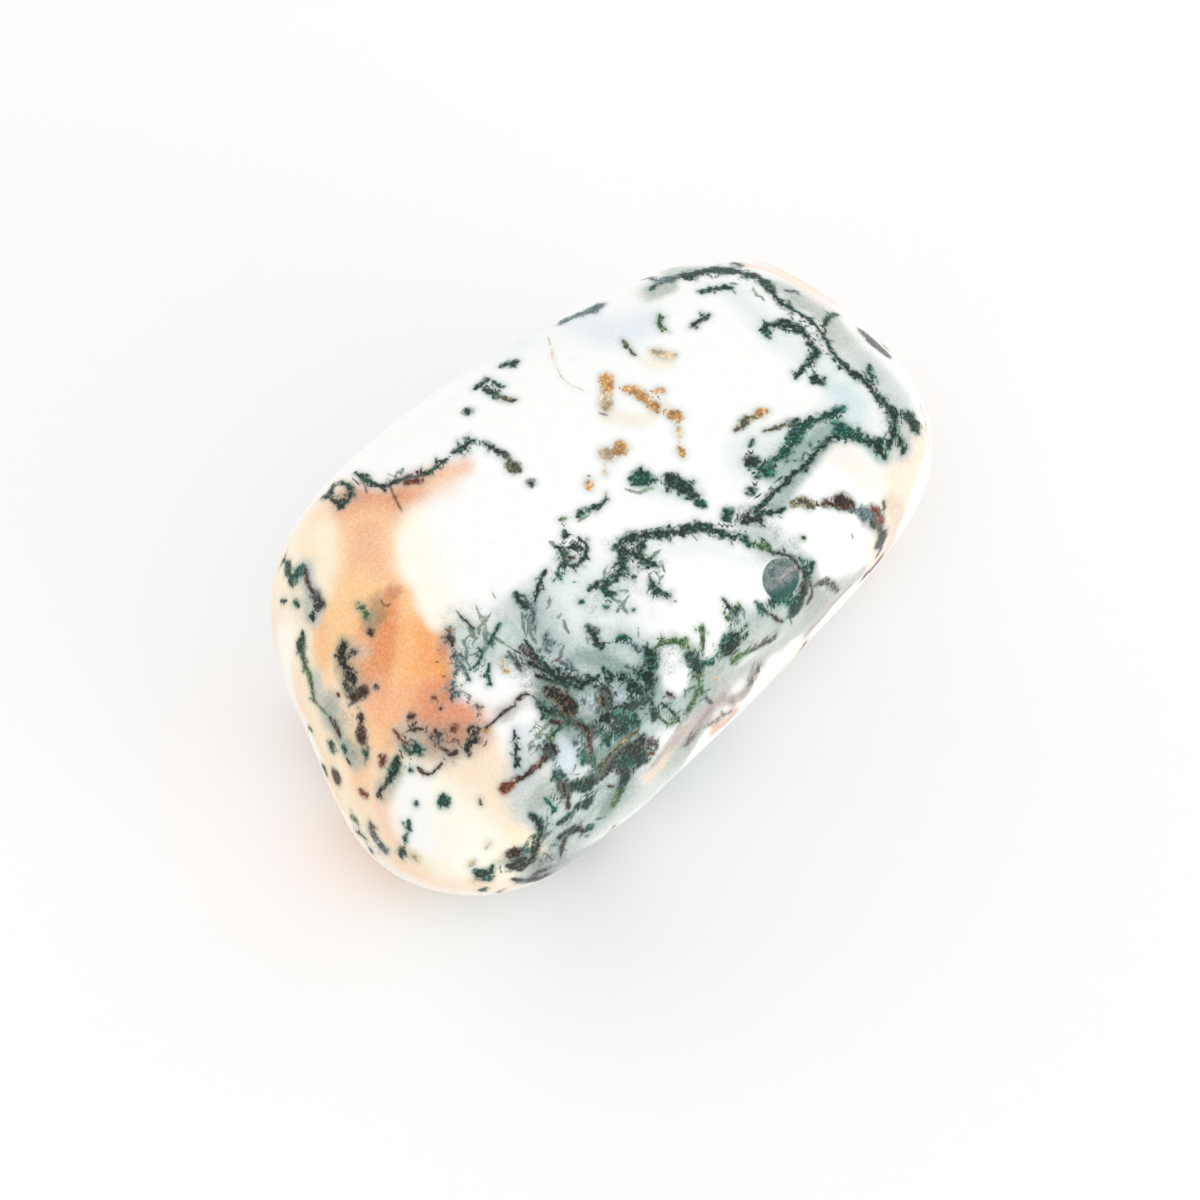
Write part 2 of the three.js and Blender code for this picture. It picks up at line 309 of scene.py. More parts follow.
# The colours of the ground on the side that the photo shows, painted one over the other.
SHOWN_STAINS = drawn(
    Stain,
    # The warm stain down the near end, from its pale surroundings to its red edge.
    (CREAM, 46, 74, 0.95, (330, 560), (345, 650), (376, 740), (430, 800), (500, 840)),
    (PEACH, 10, 50, 0.6, (330, 512), (336, 600), (338, 690), (366, 780), (396, 850)),
    (PEACH, 3, 30, 0.6, (398, 866), (450, 888), (510, 890)),
    ((250, 226, 200), 8, 50, 0.8, (462, 758), (500, 772), (526, 806), (522, 834)),
    (PEACH, 6, 26, 0.9, (345, 506), (400, 500), (438, 484)),
    ((226, 160, 124), 12, 30, 0.95, (362, 504), (386, 508), (408, 498)),
    ((240, 186, 150), 2, 15, 0.7, (420, 488), (446, 474), (462, 466)),
    ((248, 202, 158), 10, 32, 0.95, (366, 526), (361, 552), (364, 590), (378, 626)),
    ((236, 178, 142), 1, 16, 0.6, (366, 524), (362, 552), (372, 588)),
    ((250, 204, 150), 14, 40, 0.95, (348, 606), (354, 644)),
    ((250, 198, 144), 20, 30, 0.95, (384, 622), (402, 652), (410, 690), (392, 722)),
    ((250, 184, 120), 10, 26, 0.85, (406, 652), (418, 670), (418, 700)),
    ((226, 140, 84), 8, 22, 0.8, (376, 628), (373, 655), (368, 690)),
    ((243, 166, 100), 6, 20, 0.8, (430, 632), (434, 664), (432, 696)),
    ((246, 184, 140), 8, 26, 0.75, (374, 704), (398, 712), (420, 706)),
    ((224, 146, 106), 12, 24, 0.9, (440, 706), (460, 716), (450, 730), (432, 730)),
    ((198, 112, 82), 1, 12, 0.7, (442, 626), (444, 660), (447, 690), (470, 694)),
    ((250, 206, 162), 4, 26, 0.85, (366, 752), (364, 778)),
    ((244, 206, 180), 3, 22, 0.8, (388, 804), (396, 826)),
    ((255, 247, 222), 8, 34, 0.85, (420, 530), (432, 572), (448, 604)),
    ((255, 249, 235), 11, 18, 0.9, (410, 556), (424, 584), (434, 610)),
    (CREAM, 6, 26, 0.85, (322, 540), (326, 570), (322, 592)),
    (WHITE, 28, 50, 0.95, (480, 530), (496, 570), (528, 590)),
    ((255, 252, 238), 20, 36, 0.9, (426, 808), (450, 822), (466, 842)),
    (WHITE, 5, 26, 0.9, (412, 782), (416, 806), (420, 826)),
    ((255, 250, 236), 4, 18, 0.9, (284, 640), (296, 700), (318, 754)),
    ((246, 192, 136), 4, 20, 0.8, (322, 642), (322, 670)),
    ((162, 136, 100), 4, 14, 0.8, (364, 609), (369, 624)),
    ((200, 128, 94), 1, 10, 0.8, (381, 600), (386, 607), (391, 603)),
    ((150, 128, 108), 4, 12, 0.7, (345, 648), (348, 672), (354, 692)),
    ((253, 251, 246), 5, 14, 0.85, (306, 722), (318, 756), (334, 796), (350, 826)),
    ((196, 202, 196), 4, 18, 0.85, (298, 584), (306, 604), (312, 626)),
    ((190, 194, 186), 2, 16, 0.8, (316, 690), (326, 710)),
    ((166, 174, 164), 4, 18, 0.85, (334, 708), (344, 736), (360, 756)),
    ((206, 200, 190), 1, 10, 0.6, (353, 646), (357, 656)),
    ((198, 188, 174), 3, 18, 0.7, (400, 742), (424, 746), (446, 754)),
    ((204, 140, 108), 5, 18, 0.8, (438, 738), (460, 740), (478, 736)),
    ((176, 172, 152), 4, 14, 0.7, (398, 770), (388, 792)),
    # The front and lower faces, painted grey as shade where they turn from the light; the cream lip below the
    # crease, painted near-white as lit; and the warm far end.
    (FACE_SHADE_GREY, 22, 26, 0.9, (590, 826), (640, 790), (690, 744)),
    ((184, 189, 182), 20, 24, 0.9, (676, 752), (706, 716), (750, 676), (806, 626)),
    ((186, 192, 185), 14, 24, 0.85, (712, 690), (740, 642), (790, 614), (832, 594)),
    ((184, 191, 190), 13, 13, 0.95, (554, 812), (558, 836), (552, 862)),
    ((178, 186, 184), 10, 20, 0.8, (572, 836), (600, 818), (626, 796)),
    ((158, 164, 164), 12, 18, 0.85, (530, 874), (562, 862), (594, 846)),
    ((190, 174, 162), 5, 16, 0.75, (668, 750), (692, 728), (718, 706)),
    # Painted light: the lip below the crease, painted near-white where light falls on it.
    ((255, 252, 245), 11, 12, 1.0, (694, 757), (731, 709), (762, 678), (786, 654), (800, 641)),
    ((250, 228, 210), 5, 14, 0.8, (772, 678), (792, 656), (808, 640)),
    ((222, 172, 150), 2, 14, 0.85, (714, 729), (724, 722), (732, 712)),
    ((251, 220, 190), 2, 18, 0.6, (650, 776), (660, 766)),
    ((252, 224, 204), 5, 9, 0.85, (728, 262), (768, 271), (800, 288), (836, 312)),
    ((246, 224, 202), 14, 32, 0.9, (916, 448), (905, 476), (890, 520), (880, 552)),
    ((251, 240, 228), 10, 18, 0.8, (844, 462), (866, 478)),
    ((222, 204, 184), 4, 14, 0.8, (888, 496), (894, 516), (892, 540), (884, 560)),
    ((248, 244, 232), 8, 18, 0.8, (850, 548), (858, 560)),
    ((158, 152, 144), 3, 12, 0.7, (862, 511), (877, 524), (880, 546)),
    ((238, 226, 204), 3, 12, 0.6, (604, 414), (640, 412), (664, 402)),
    ((244, 232, 206), 3, 10, 0.6, (640, 356), (672, 360)),
    # The pale green and blue haze round the moss, and the windows left clear in it.
    (HAZE, 20, 38, 0.75, (566, 608), (596, 602), (612, 640), (566, 640)),
    (HAZE, 4, 26, 0.5, (504, 640), (540, 610)),
    (HAZE, 2, 18, 0.6, (640, 548), (690, 542), (740, 546), (766, 556)),
    ((196, 208, 202), 8, 24, 0.7, (468, 628), (480, 648), (490, 660)),
    ((200, 213, 209), 18, 30, 0.85, (532, 618), (548, 650), (590, 668), (616, 662)),
    ((182, 192, 190), 4, 22, 0.5, (536, 610), (550, 634), (568, 650)),
    (DEEP_HAZE, 4, 18, 0.7, (530, 666), (556, 676), (586, 686)),
    ((70, 98, 88), 7, 18, 0.85, (556, 692), (584, 722), (606, 714), (634, 716), (650, 698), (646, 676)),
    (GREEN_GREY, 10, 26, 0.8, (596, 744), (636, 732), (664, 708), (692, 700)),
    (GREEN_GREY, 5, 20, 0.7, (604, 780), (622, 790), (612, 808)),
    ((200, 213, 209), 8, 12, 0.8, (604, 652), (620, 660), (630, 666)),
    (WHITE, 7, 14, 0.9, (508, 726), (518, 742)),
    (WHITE, 10, 20, 0.95, (474, 684), (496, 688), (516, 678)),
    (WHITE, 20, 26, 0.95, (650, 606), (690, 632)),
    (WHITE, 8, 15, 0.95, (664, 673), (680, 682)),
    ((196, 210, 216), 8, 7, 0.95, (613, 698), (620, 692), (631, 698)),
    ((206, 217, 223), 4, 7, 0.95, (587, 692), (589, 700), (592, 710)),
    ((226, 232, 234), 8, 16, 0.9, (524, 736), (530, 762)),
    ((210, 220, 226), 9, 14, 0.9, (560, 738), (570, 750), (574, 762)),
    ((196, 205, 203), 12, 26, 0.85, (530, 776), (546, 804), (590, 808)),
    ((228, 235, 240), 3, 30, 0.9, (584, 322), (612, 330), (640, 318)),
    (HAZE, 3, 28, 0.8, (740, 300), (800, 346), (840, 384), (862, 424)),
    ((212, 228, 232), 6, 22, 0.8, (836, 392), (852, 412)),
    (HAZE, 8, 30, 0.8, (748, 456), (776, 444), (820, 424)),
    ((146, 176, 166), 5, 16, 0.85, (776, 470), (800, 448), (840, 430)),
    ((140, 164, 156), 3, 14, 0.8, (822, 456), (802, 476), (778, 498)),
    ((160, 188, 180), 5, 14, 0.8, (838, 432), (864, 440), (884, 446)),
    (GREEN_GREY, 3, 16, 0.6, (748, 518), (766, 536), (782, 554)),
    (HAZE, 4, 20, 0.6, (640, 478), (690, 488)),
    ((182, 190, 180), 7, 20, 0.75, (780, 290), (800, 300), (826, 318), (842, 338)),
    ((176, 184, 174), 5, 16, 0.85, (636, 276), (668, 270), (706, 266)),
    ((196, 206, 202), 5, 20, 0.8, (856, 356), (898, 404), (903, 440)),
    ((186, 196, 190), 4, 22, 0.75, (800, 598), (780, 616), (752, 612)),
    ((166, 172, 162), 5, 16, 0.8, (802, 572), (818, 590), (822, 608)),
    ((172, 180, 171), 4, 14, 0.75, (776, 632), (756, 650), (738, 662)),
    ((190, 188, 181), 6, 12, 0.9, (852, 582), (832, 600), (816, 624)),
    ((150, 174, 160), 5, 12, 0.75, (690, 656), (698, 668), (698, 690)),
    ((182, 193, 184), 6, 22, 0.75, (732, 646), (712, 664), (704, 690)),
    ((102, 120, 108), 9, 14, 0.85, (618, 754), (638, 752), (630, 766)),
    ((130, 142, 128), 4, 14, 0.7, (622, 780), (616, 804)),
    ((112, 130, 120), 5, 12, 0.8, (562, 786), (590, 781), (604, 766)),
    ((160, 172, 164), 6, 14, 0.75, (546, 790), (556, 776)),
    ((110, 130, 120), 5, 12, 0.75, (590, 758), (598, 768)),
    ((140, 140, 130), 5, 14, 0.75, (508, 862), (524, 862), (532, 870)),
    ((190, 184, 176), 2, 12, 0.75, (500, 716), (518, 702), (534, 698)),
    ((120, 150, 138), 5, 12, 0.7, (590, 652), (604, 668), (622, 684)),
    # Painted shade: thin dark lines along the crease and the edges of the front face.
    ((150, 142, 138), 1, 7, 0.8, (758, 662), (752, 678), (740, 692), (728, 702)),
    ((158, 146, 140), 1, 9, 0.8, (728, 702), (710, 711), (696, 728), (686, 741), (676, 754)),
    ((176, 160, 150), 1, 8, 0.7, (706, 700), (690, 716), (672, 738), (654, 764)),
    ((168, 158, 152), 1, 8, 0.75, (842, 594), (830, 607), (820, 620), (810, 632)),
    ((166, 162, 158), 2, 9, 0.6, (776, 636), (764, 648), (746, 656)),
)

# Where fine fibres fill the ground. Only the strength counts, so the tone is the same throughout.
VEILS = drawn(
    Stain,
    (WHITE, 14, 20, 0.34, (462, 626), (478, 648), (494, 644)),
    (WHITE, 20, 24, 0.34, (522, 622), (546, 658), (584, 668), (604, 650)),
    (WHITE, 14, 18, 0.85, (528, 672), (556, 694), (576, 716), (604, 730), (626, 722)),
    (WHITE, 10, 14, 0.6, (620, 676), (640, 684), (652, 664)),
    (WHITE, 10, 14, 0.8, (642, 712), (652, 690)),
    (WHITE, 8, 20, 0.5, (622, 552), (618, 590), (596, 600)),
    (WHITE, 26, 36, 0.14, (560, 600), (610, 620)),
    (WHITE, 10, 14, 0.45, (552, 718), (542, 740)),
    (WHITE, 14, 20, 0.6, (640, 756), (614, 788), (586, 772)),
    (WHITE, 14, 22, 0.5, (744, 630), (728, 664), (706, 700)),
    (WHITE, 10, 18, 0.6, (652, 652), (694, 664), (694, 704), (668, 716)),
    (WHITE, 6, 14, 0.5, (292, 580), (304, 604)),
    (WHITE, 6, 14, 0.6, (340, 716), (352, 750)),
    (WHITE, 8, 16, 0.35, (398, 750), (424, 744), (466, 742)),
    (WHITE, 6, 16, 0.4, (760, 468), (810, 436), (850, 430)),
    (WHITE, 5, 16, 0.6, (744, 512), (786, 552), (806, 590)),
    (WHITE, 8, 14, 0.65, (520, 862), (542, 840), (556, 874)),
    (WHITE, 5, 14, 0.6, (566, 830), (590, 806)),
    (WHITE, 6, 14, 0.5, (478, 880), (492, 868)),
    (WHITE, 4, 14, 0.5, (890, 400), (900, 440)),
    (WHITE, 4, 14, 0.5, (800, 300), (830, 326)),
    (WHITE, 4, 14, 0.45, (640, 476), (690, 490)),
    (WHITE, 4, 12, 0.45, (356, 830), (384, 850)),
)

# The marks on the side that the photo shows, one part of the stone after another.
SHOWN_STROKES = drawn(
    Stroke,
    # The green and black vein that arches over the warm stain, from the left rim to the top.
    (MOSS, 6, (340, 481), (349, 486), (351, 495), (345, 503), (335, 502), (330, 494), (333, 484)),
    (MOSS, 5, (345, 502), (338, 509)),
    (MOSS, 6, (355, 473), (362, 478), (370, 483), (376, 485)),
    (BLACK, 4.5, (370, 486), (388, 485), (398, 481), (411, 477), (424, 475)),
    (MOSS, 5, (424, 475), (435, 468), (446, 459)),
    (MOSS, 7, (455, 454), (464, 446), (474, 441)),
    (MOSS, 5, (484, 443), (490, 447), (497, 450)),
    (BLACK, 7, (496, 450), (504, 454), (510, 460)),
    (FLECK, 11, (509, 461), (513, 466), (517, 470)),
    (BLACK, 7, (531, 483)),
    (RUST, 5, (405, 484), (413, 482), (421, 480)),
    (BROWN, 3, (391, 489), (396, 500), (402, 511)),
    (BROWN, 3.5, (365, 486), (367, 494)),
    # Short dashes on the white top, near the left rim.
    (MOSS, 5.5, (501, 366), (509, 364), (516, 361)),
    (MOSS, 6.5, (476, 388), (484, 382), (491, 380)),
    (TEAL, 4, (493, 381), (498, 386), (504, 386)),
    (MOSS, 6.5, (484, 388), (493, 393), (500, 397)),
    (FLECK, 5.5, (499, 397), (508, 400), (515, 400)),
    (MOSS, 7, (465, 412), (471, 411)),
    (OLIVE, 4, (560, 520), (566, 518)),
    (TEAL, 6.5, (578, 516), (584, 512), (591, 509)),
    (MOSS, 5, (590, 509), (600, 505), (607, 500)),
    (OLIVE, 3, (578, 521), (590, 515)),
    (TAN, 2.5, (548, 337), (550, 345)),
    (TAN, 3, (551, 348), (554, 361)),
    (TAN, 1.5, (556, 366), (566, 382), (585, 391)),
    (SLATE, 6.5, (562, 322), (580, 315), (600, 305)),
    # The long vein that runs along the far rim and turns back over the far end.
    (SLATE, 6, (644, 279), (664, 280), (684, 275)),
    (MOSS, 7.5, (681, 277), (697, 273), (715, 270), (740, 270)),
    (MOSS, 9, (744, 272), (757, 277), (767, 285), (775, 297)),
    (MOSS, 6.5, (775, 297), (786, 306), (796, 311)),
    (MOSS, 5, (796, 311), (812, 322), (824, 337), (834, 354), (842, 362)),
    (MOSS, 9, (842, 363), (850, 370), (858, 375)),
    (MOSS, 6.5, (858, 375), (866, 382), (874, 393)),
    (MOSS, 11, (876, 396), (886, 404), (893, 415), (895, 428)),
    (MOSS, 8.5, (895, 428), (892, 438), (884, 446)),
    (MOSS, 10, (888, 447), (875, 443), (864, 440)),
    (TEAL, 12, (868, 441), (853, 435), (836, 430)),
    (TEAL, 7.5, (869, 366), (872, 378)),
    (MOSS, 11, (905, 414), (912, 420), (917, 430)),
    (MOSS, 6, (899, 438), (905, 452)),
    (MOSS, 6.5, (876, 446), (885, 458)),
    (MOSS, 6.5, (823, 326), (829, 318), (838, 314)),
    (SLATE, 5, (786, 290), (798, 292)),
    (DUSK, 14, (862, 332), (872, 341), (888, 354)),
    (TAN, 2, (920, 402), (925, 420), (929, 446)),
    # Dashes and the hook on the top, near the far end.
    (MOSS, 7.5, (701, 291), (715, 289), (729, 288)),
    (OLIVE, 5.5, (659, 314), (660, 322), (662, 332)),
    (MOSS, 6.5, (691, 326), (700, 321), (709, 316)),
    (FLECK, 5, (622, 341), (628, 348), (636, 355)),
    (TAN, 7.5, (652, 350), (664, 354), (674, 355)),
    (OLIVE, 3.5, (752, 291), (758, 293)),
    (MOSS, 7.5, (759, 331), (766, 327), (776, 324), (788, 324), (800, 330), (807, 336)),
    (TEAL, 6.5, (766, 331), (768, 337)),
    (MOSS, 10, (809, 343), (816, 351), (812, 359)),
    (MOSS, 6.5, (812, 359), (804, 367), (797, 378)),
    (MOSS, 10, (814, 377), (822, 385)),
    # The chain of ochre grains across the top.
    (OCHRE, 16, (606, 377), (608, 389)),
    (TAN, 11.5, (606, 397), (605, 408)),
    (BROWN, 2.5, (600, 413), (607, 415)),
    (OCHRE, 10, (626, 389), (636, 392), (645, 398)),
    (OCHRE, 10, (644, 398), (652, 405), (658, 411)),
    (FLECK, 4.5, (634, 396), (640, 400)),
    (OCHRE, 10, (670, 415), (680, 417)),
    (OCHRE, 4.5, (656, 390), (664, 392)),
    (TAN, 5.5, (679, 427), (680, 436)),
    (OCHRE, 9, (680, 449), (682, 456)),
    (OCHRE, 9, (617, 443), (622, 450), (611, 453)),
    (TAN, 10, (604, 452), (610, 457)),
    (TAN, 4.5, (603, 470), (605, 475)),
    (OCHRE, 8, (589, 480), (590, 489)),
    (BROWN, 2, (589, 476)),
    (FLECK, 9, (737, 430), (745, 422), (754, 417)),
    (OCHRE, 10, (756, 414), (766, 412)),
    (FLECK, 5.5, (764, 431), (776, 428), (788, 424)),
    # The two teal branches that fan out towards the far end, and the dots beside them.
    (TEAL, 8, (844, 408), (830, 414), (818, 420), (805, 424)),
    (MOSS, 7, (789, 425), (797, 421)),
    (TEAL, 10.5, (806, 424), (798, 434), (792, 444)),
    (TEAL, 9.5, (792, 444), (783, 454), (773, 460)),
    (MOSS, 13, (748, 461), (757, 462)),
    (TEAL, 14, (762, 470), (770, 473)),
    (MOSS, 8, (753, 440), (750, 446)),
    (MOSS, 11, (748, 493), (753, 489)),
    (MOSS, 6, (757, 477)),
    (TEAL, 11.5, (836, 423), (844, 430)),
    (MOSS, 7, (844, 432), (830, 438), (818, 450)),
    (MOSS, 7, (818, 450), (808, 462), (797, 472)),
    (MOSS, 7, (797, 472), (785, 484), (772, 494)),
    (MOSS, 7, (772, 494), (760, 506), (754, 514)),
    # The fat green blobs in the middle of the top.
    (TEAL, 20, (636, 479), (646, 479)),
    (MOSS, 8.5, (641, 469), (642, 478)),
    (MOSS, 9, (650, 480), (656, 480)),
    (OLIVE, 3.5, (626, 489), (634, 492), (643, 492), (651, 488)),
    (MOSS, 14, (668, 478), (677, 484), (687, 489)),
    (MOSS, 7.5, (687, 490), (696, 498)),
    (TEAL, 8.5, (698, 501), (704, 506)),
    (TEAL, 15, (725, 515), (731, 512)),
    (TEAL, 6.5, (722, 519), (730, 522)),
    # The vein across the shoulder, above the pit, and its brown end at the right.
    (MOSS, 9, (622, 541), (632, 537), (646, 535), (657, 534)),
    (MOSS, 10, (657, 534), (670, 533), (684, 530), (694, 528)),
    (MOSS, 11, (693, 526), (702, 528), (712, 530)),
    (MOSS, 9, (712, 531), (724, 534), (738, 535)),
    (TEAL, 10, (744, 537), (747, 545)),
    (OLIVE, 6, (757, 545), (764, 547), (770, 545)),
    (MOSS, 5, (762, 538), (766, 541)),
    (SLATE, 5, (770, 549), (773, 555)),
    (BLACK, 8, (741, 523), (750, 520), (763, 520)),
    (MOSS, 8, (757, 516), (770, 513), (784, 508)),
    (FLECK, 11, (795, 504), (803, 501), (812, 506)),
    (BROWN, 7, (822, 504), (830, 503)),
    (BROWN, 14, (836, 502), (845, 501), (853, 505)),
    (BLACK, 5, (830, 507), (842, 509), (854, 508)),
    (SLATE, 12, (857, 512), (865, 514), (871, 514)),
    (RUST, 10, (871, 506), (877, 513), (882, 524)),
    (BLACK, 14, (874, 515), (879, 526), (881, 538), (880, 547)),
    (BLACK, 6, (881, 547), (877, 556)),
    (RUST, 7, (882, 556), (872, 568), (862, 578)),
    (OLIVE, 6, (803, 538)),
    (OLIVE, 3, (852, 534), (853, 539)),
    (MOSS, 3, (841, 492), (842, 495)),
    (OLIVE, 4, (883, 502), (885, 509)),
    # The star-shaped tuft with a brown eye.
    (MOSS, 5.5, (565, 531), (564, 539)),
    (BROWN, 3.5, (550, 542), (556, 548)),
    (MOSS, 6.5, (557, 547), (563, 553), (562, 562), (559, 568)),
    (MOSS, 5.5, (563, 552), (572, 546), (580, 549)),
    (MOSS, 5.5, (578, 538), (585, 544), (586, 555), (580, 562)),
    (MOSS, 4.5, (562, 562), (572, 567), (580, 562)),
    (GILT, 5.5, (572, 558)),
    (TEAL, 5.5, (558, 572), (561, 580)),
    (TEAL, 3.5, (574, 582)),
    # The moss that hangs below the shoulder vein.
    (MOSS, 11, (622, 541), (623, 552), (624, 563), (619, 574)),
    (TEAL, 6.5, (612, 549), (621, 549)),
    (MOSS, 5, (635, 541), (643, 543), (641, 550), (634, 548)),
    (MOSS, 6, (627, 553), (637, 556), (648, 562), (658, 567)),
    (TEAL, 4, (641, 560), (647, 568)),
    (MOSS, 7.5, (618, 575), (609, 582), (600, 587)),
    (TEAL, 7.5, (600, 587), (607, 591), (613, 597)),
    (MOSS, 6, (589, 589), (597, 583)),
    (MOSS, 6, (650, 577), (653, 585), (658, 592)),
    (MOSS, 7.5, (655, 586), (662, 593), (670, 598)),
    (MOSS, 5, (633, 577)),
    (TEAL, 3.5, (613, 598), (621, 604), (627, 613)),
    (TEAL, 3.5, (629, 596), (622, 604), (617, 612)),
    (TEAL, 5, (606, 607)),
    (TEAL, 5, (581, 602)),
    (TEAL, 4, (633, 610)),
    (MOSS, 2.5, (675, 601)),
    # The dark rim of the pit and the marks beside it.
    (TEAL, 6, (768, 599), (778, 603), (790, 602), (798, 597)),
    (BLACK, 6, (779, 553), (787, 556), (796, 562), (802, 569)),
    (TEAL, 5, (799, 558), (806, 568)),
    (BLACK, 9, (802, 568), (805, 577), (805, 588), (801, 597)),
    (BROWN, 4, (809, 580), (812, 591), (809, 602)),
    (TEAL, 6, (811, 562), (812, 574)),
    (TEAL, 3.5, (804, 567), (809, 578)),
    (DUSK, 8, (816, 587), (824, 582), (832, 585), (838, 592)),
    (MOSS, 8, (798, 598), (797, 606), (789, 609)),
    (MOSS, 2.5, (789, 614), (792, 624)),
    (TEAL, 6, (756, 603), (763, 610), (770, 614)),
    (BROWN, 4, (770, 614), (776, 619), (783, 622)),
    # The loose moss on the right shoulder, between the pit and the belt.
    (OLIVE, 4, (738, 604), (732, 611), (726, 617)),
    (MOSS, 4, (724, 599), (730, 608), (738, 617)),
    (BROWN, 3, (732, 612), (733, 621)),
    (MOSS, 5, (746, 626)),
    (MOSS, 4, (747, 635)),
    (MOSS, 14, (725, 650), (735, 639)),
    (TEAL, 8, (725, 636), (731, 650)),
    (OLIVE, 5, (733, 661), (741, 655), (750, 651)),
    (DUSK, 5, (752, 650), (761, 645), (770, 640), (775, 635)),
    (OLIVE, 5, (702, 626), (704, 637), (703, 651)),
    (MOSS, 2, (638, 627), (638, 637)),
    (TEAL, 8, (697, 661), (706, 664), (713, 663)),
    (MOSS, 15, (689, 656), (697, 664), (700, 672)),
    (OCHRE, 4, (716, 679)),
    # Painted shade: dark lines in the crease above the lip.
    (CREASE, 5, (759, 660), (756, 672), (748, 686)),
    (CREASE, 5, (730, 711), (716, 721), (704, 727)),
    (CREASE, 6, (702, 727), (693, 735), (686, 744)),
    (DUSK, 4, (705, 697), (712, 704)),
    # The green loop round the clear window, right of the belt.
    (MOSS, 11, (643, 648), (650, 656), (655, 665)),
    (MOSS, 3, (647, 641), (648, 650)),
    (MOSS, 7, (649, 668), (652, 677), (648, 685)),
    (TEAL, 4, (616, 642), (623, 637), (631, 639)),
    (SLATE, 6, (632, 645), (638, 650)),
    (OLIVE, 5, (655, 647), (664, 643), (674, 641), (682, 641), (688, 648), (692, 656)),
    (MOSS, 7, (690, 653), (695, 662), (697, 673)),
    (OLIVE, 5, (697, 673), (699, 685), (695, 698), (687, 711)),
    (OLIVE, 4, (703, 686), (701, 694)),
    (BROWN, 5, (667, 693), (674, 698)),
    (MOSS, 4, (661, 703), (671, 711), (680, 722)),
    # The dark belt of moss from the middle to the front face.
    (GILT, 12, (547, 688), (555, 694), (562, 699)),
    (GILT, 15, (561, 697), (568, 705), (573, 713)),
    (BLACK, 9, (558, 708), (567, 716), (574, 724)),
    (MOSS, 8, (538, 703), (546, 712), (554, 717)),
    (BROWN, 8, (551, 721), (560, 722)),
    (BLACK, 14, (603, 690), (606, 700), (607, 712)),
    (GILT, 4, (602, 696), (604, 706)),
    (BLACK, 12, (600, 717), (608, 720)),
    (BLACK, 13, (573, 721), (583, 727), (593, 731)),
    (GILT, 4, (578, 723), (588, 730)),
    (BLACK, 9, (586, 735), (592, 742)),
    (TEAL, 12, (613, 715), (622, 720), (632, 724)),
    (MOSS, 10, (612, 727), (620, 732), (630, 733)),
    (TEAL, 9, (598, 730), (606, 738), (610, 746)),
    (MOSS, 11, (622, 707), (632, 706), (642, 703)),
    (MOSS, 11, (641, 703), (649, 699), (654, 694)),
    (MOSS, 11, (641, 668), (647, 678), (653, 689)),
    (BLACK, 6, (644, 674), (651, 686)),
    (MOSS, 9, (621, 674), (630, 682), (638, 690), (644, 697)),
    (BLACK, 5, (626, 678), (637, 689)),
    (MOSS, 6, (603, 668), (610, 676), (606, 684)),
    (MOSS, 8, (652, 706), (655, 714), (654, 720)),
    (TEAL, 7, (633, 713), (638, 722), (638, 729)),
    (MOSS, 6, (556, 674), (566, 680), (577, 688)),
    (BLACK, 6, (564, 674), (576, 681), (587, 684)),
    (SLATE, 5, (560, 660), (570, 668), (582, 674)),
    (MOSS, 6, (548, 668), (558, 678), (568, 690)),
    (MOSS, 7, (578, 690), (584, 682), (596, 678)),
    (OLIVE, 4, (560, 726), (552, 736), (546, 744)),
    (TEAL, 5, (560, 730), (566, 722), (572, 716)),
    (OLIVE, 4, (658, 716), (668, 724), (676, 722)),
    # The gold-edged crack down the front, and the dark moss that it cuts.
    (TEAL, 17, (619, 761), (633, 762)),
    (BLACK, 11, (620, 749), (632, 745), (643, 739)),
    (BLACK, 12, (628, 754), (640, 750)),
    (MOSS, 11, (636, 758), (648, 756)),
    (BLACK, 9, (617, 769), (630, 773)),
    (DUSK, 7, (645, 746), (652, 742), (657, 749)),
    (BLACK, 7, (638, 766), (650, 759)),
    (RUST, 4, (650, 753), (654, 754)),
    (BLACK, 9, (615, 756), (608, 766), (601, 776)),
    (MOSS, 11, (599, 774), (590, 783), (579, 786), (569, 783)),
    (TEAL, 15, (556, 772), (563, 778)),
    (BLACK, 14, (561, 779), (564, 788), (567, 796)),
    (GILT, 5, (563, 784), (566, 794)),
    (BROWN, 4, (567, 797), (569, 809)),
    (TEAL, 14, (581, 757), (592, 761)),
    (MOSS, 7, (594, 764), (599, 770)),
    (BROWN, 5, (588, 735), (590, 746), (591, 757)),
    (SLATE, 7, (574, 741), (576, 744)),
    (MOSS, 10, (625, 776), (622, 787)),
    (OLIVE, 9, (622, 788), (618, 798)),
    (OLIVE, 7, (617, 798), (614, 809)),
    (BROWN, 4, (608, 786), (614, 787)),
    (FLECK, 3.8, (637, 730), (630, 736), (622, 743)),
    (FLECK, 4, (622, 743), (613, 751), (605, 762), (599, 773)),
    (OCHRE, 5, (624, 741)),
    # The feathery moss in the middle, right of the warm stain.
    (MOSS, 4, (547, 569), (542, 579), (538, 589), (535, 601)),
    (SLATE, 6, (530, 603), (533, 615), (535, 627)),
    (SLATE, 7, (546, 632), (547, 642), (548, 652)),
    (MOSS, 8, (589, 627), (594, 636), (600, 649)),
    (BLACK, 4, (588, 626), (595, 640)),
    (BROWN, 3, (563, 619), (566, 627), (569, 634)),
    (RUST, 3, (552, 661), (562, 657)),
    (RUST, 3, (551, 600)),
    (MOSS, 8, (517, 593), (520, 601), (526, 608)),
    (TEAL, 3, (522, 612), (523, 625), (526, 637)),
    (MOSS, 3, (530, 622), (531, 634), (537, 645)),
    (MOSS, 5, (525, 640), (531, 649), (537, 658), (548, 668)),
    (BLACK, 7, (528, 662), (538, 668), (549, 673)),
    (BROWN, 3, (515, 654), (519, 665), (527, 669)),
    (OLIVE, 2, (491, 634), (509, 647), (522, 653), (536, 658)),
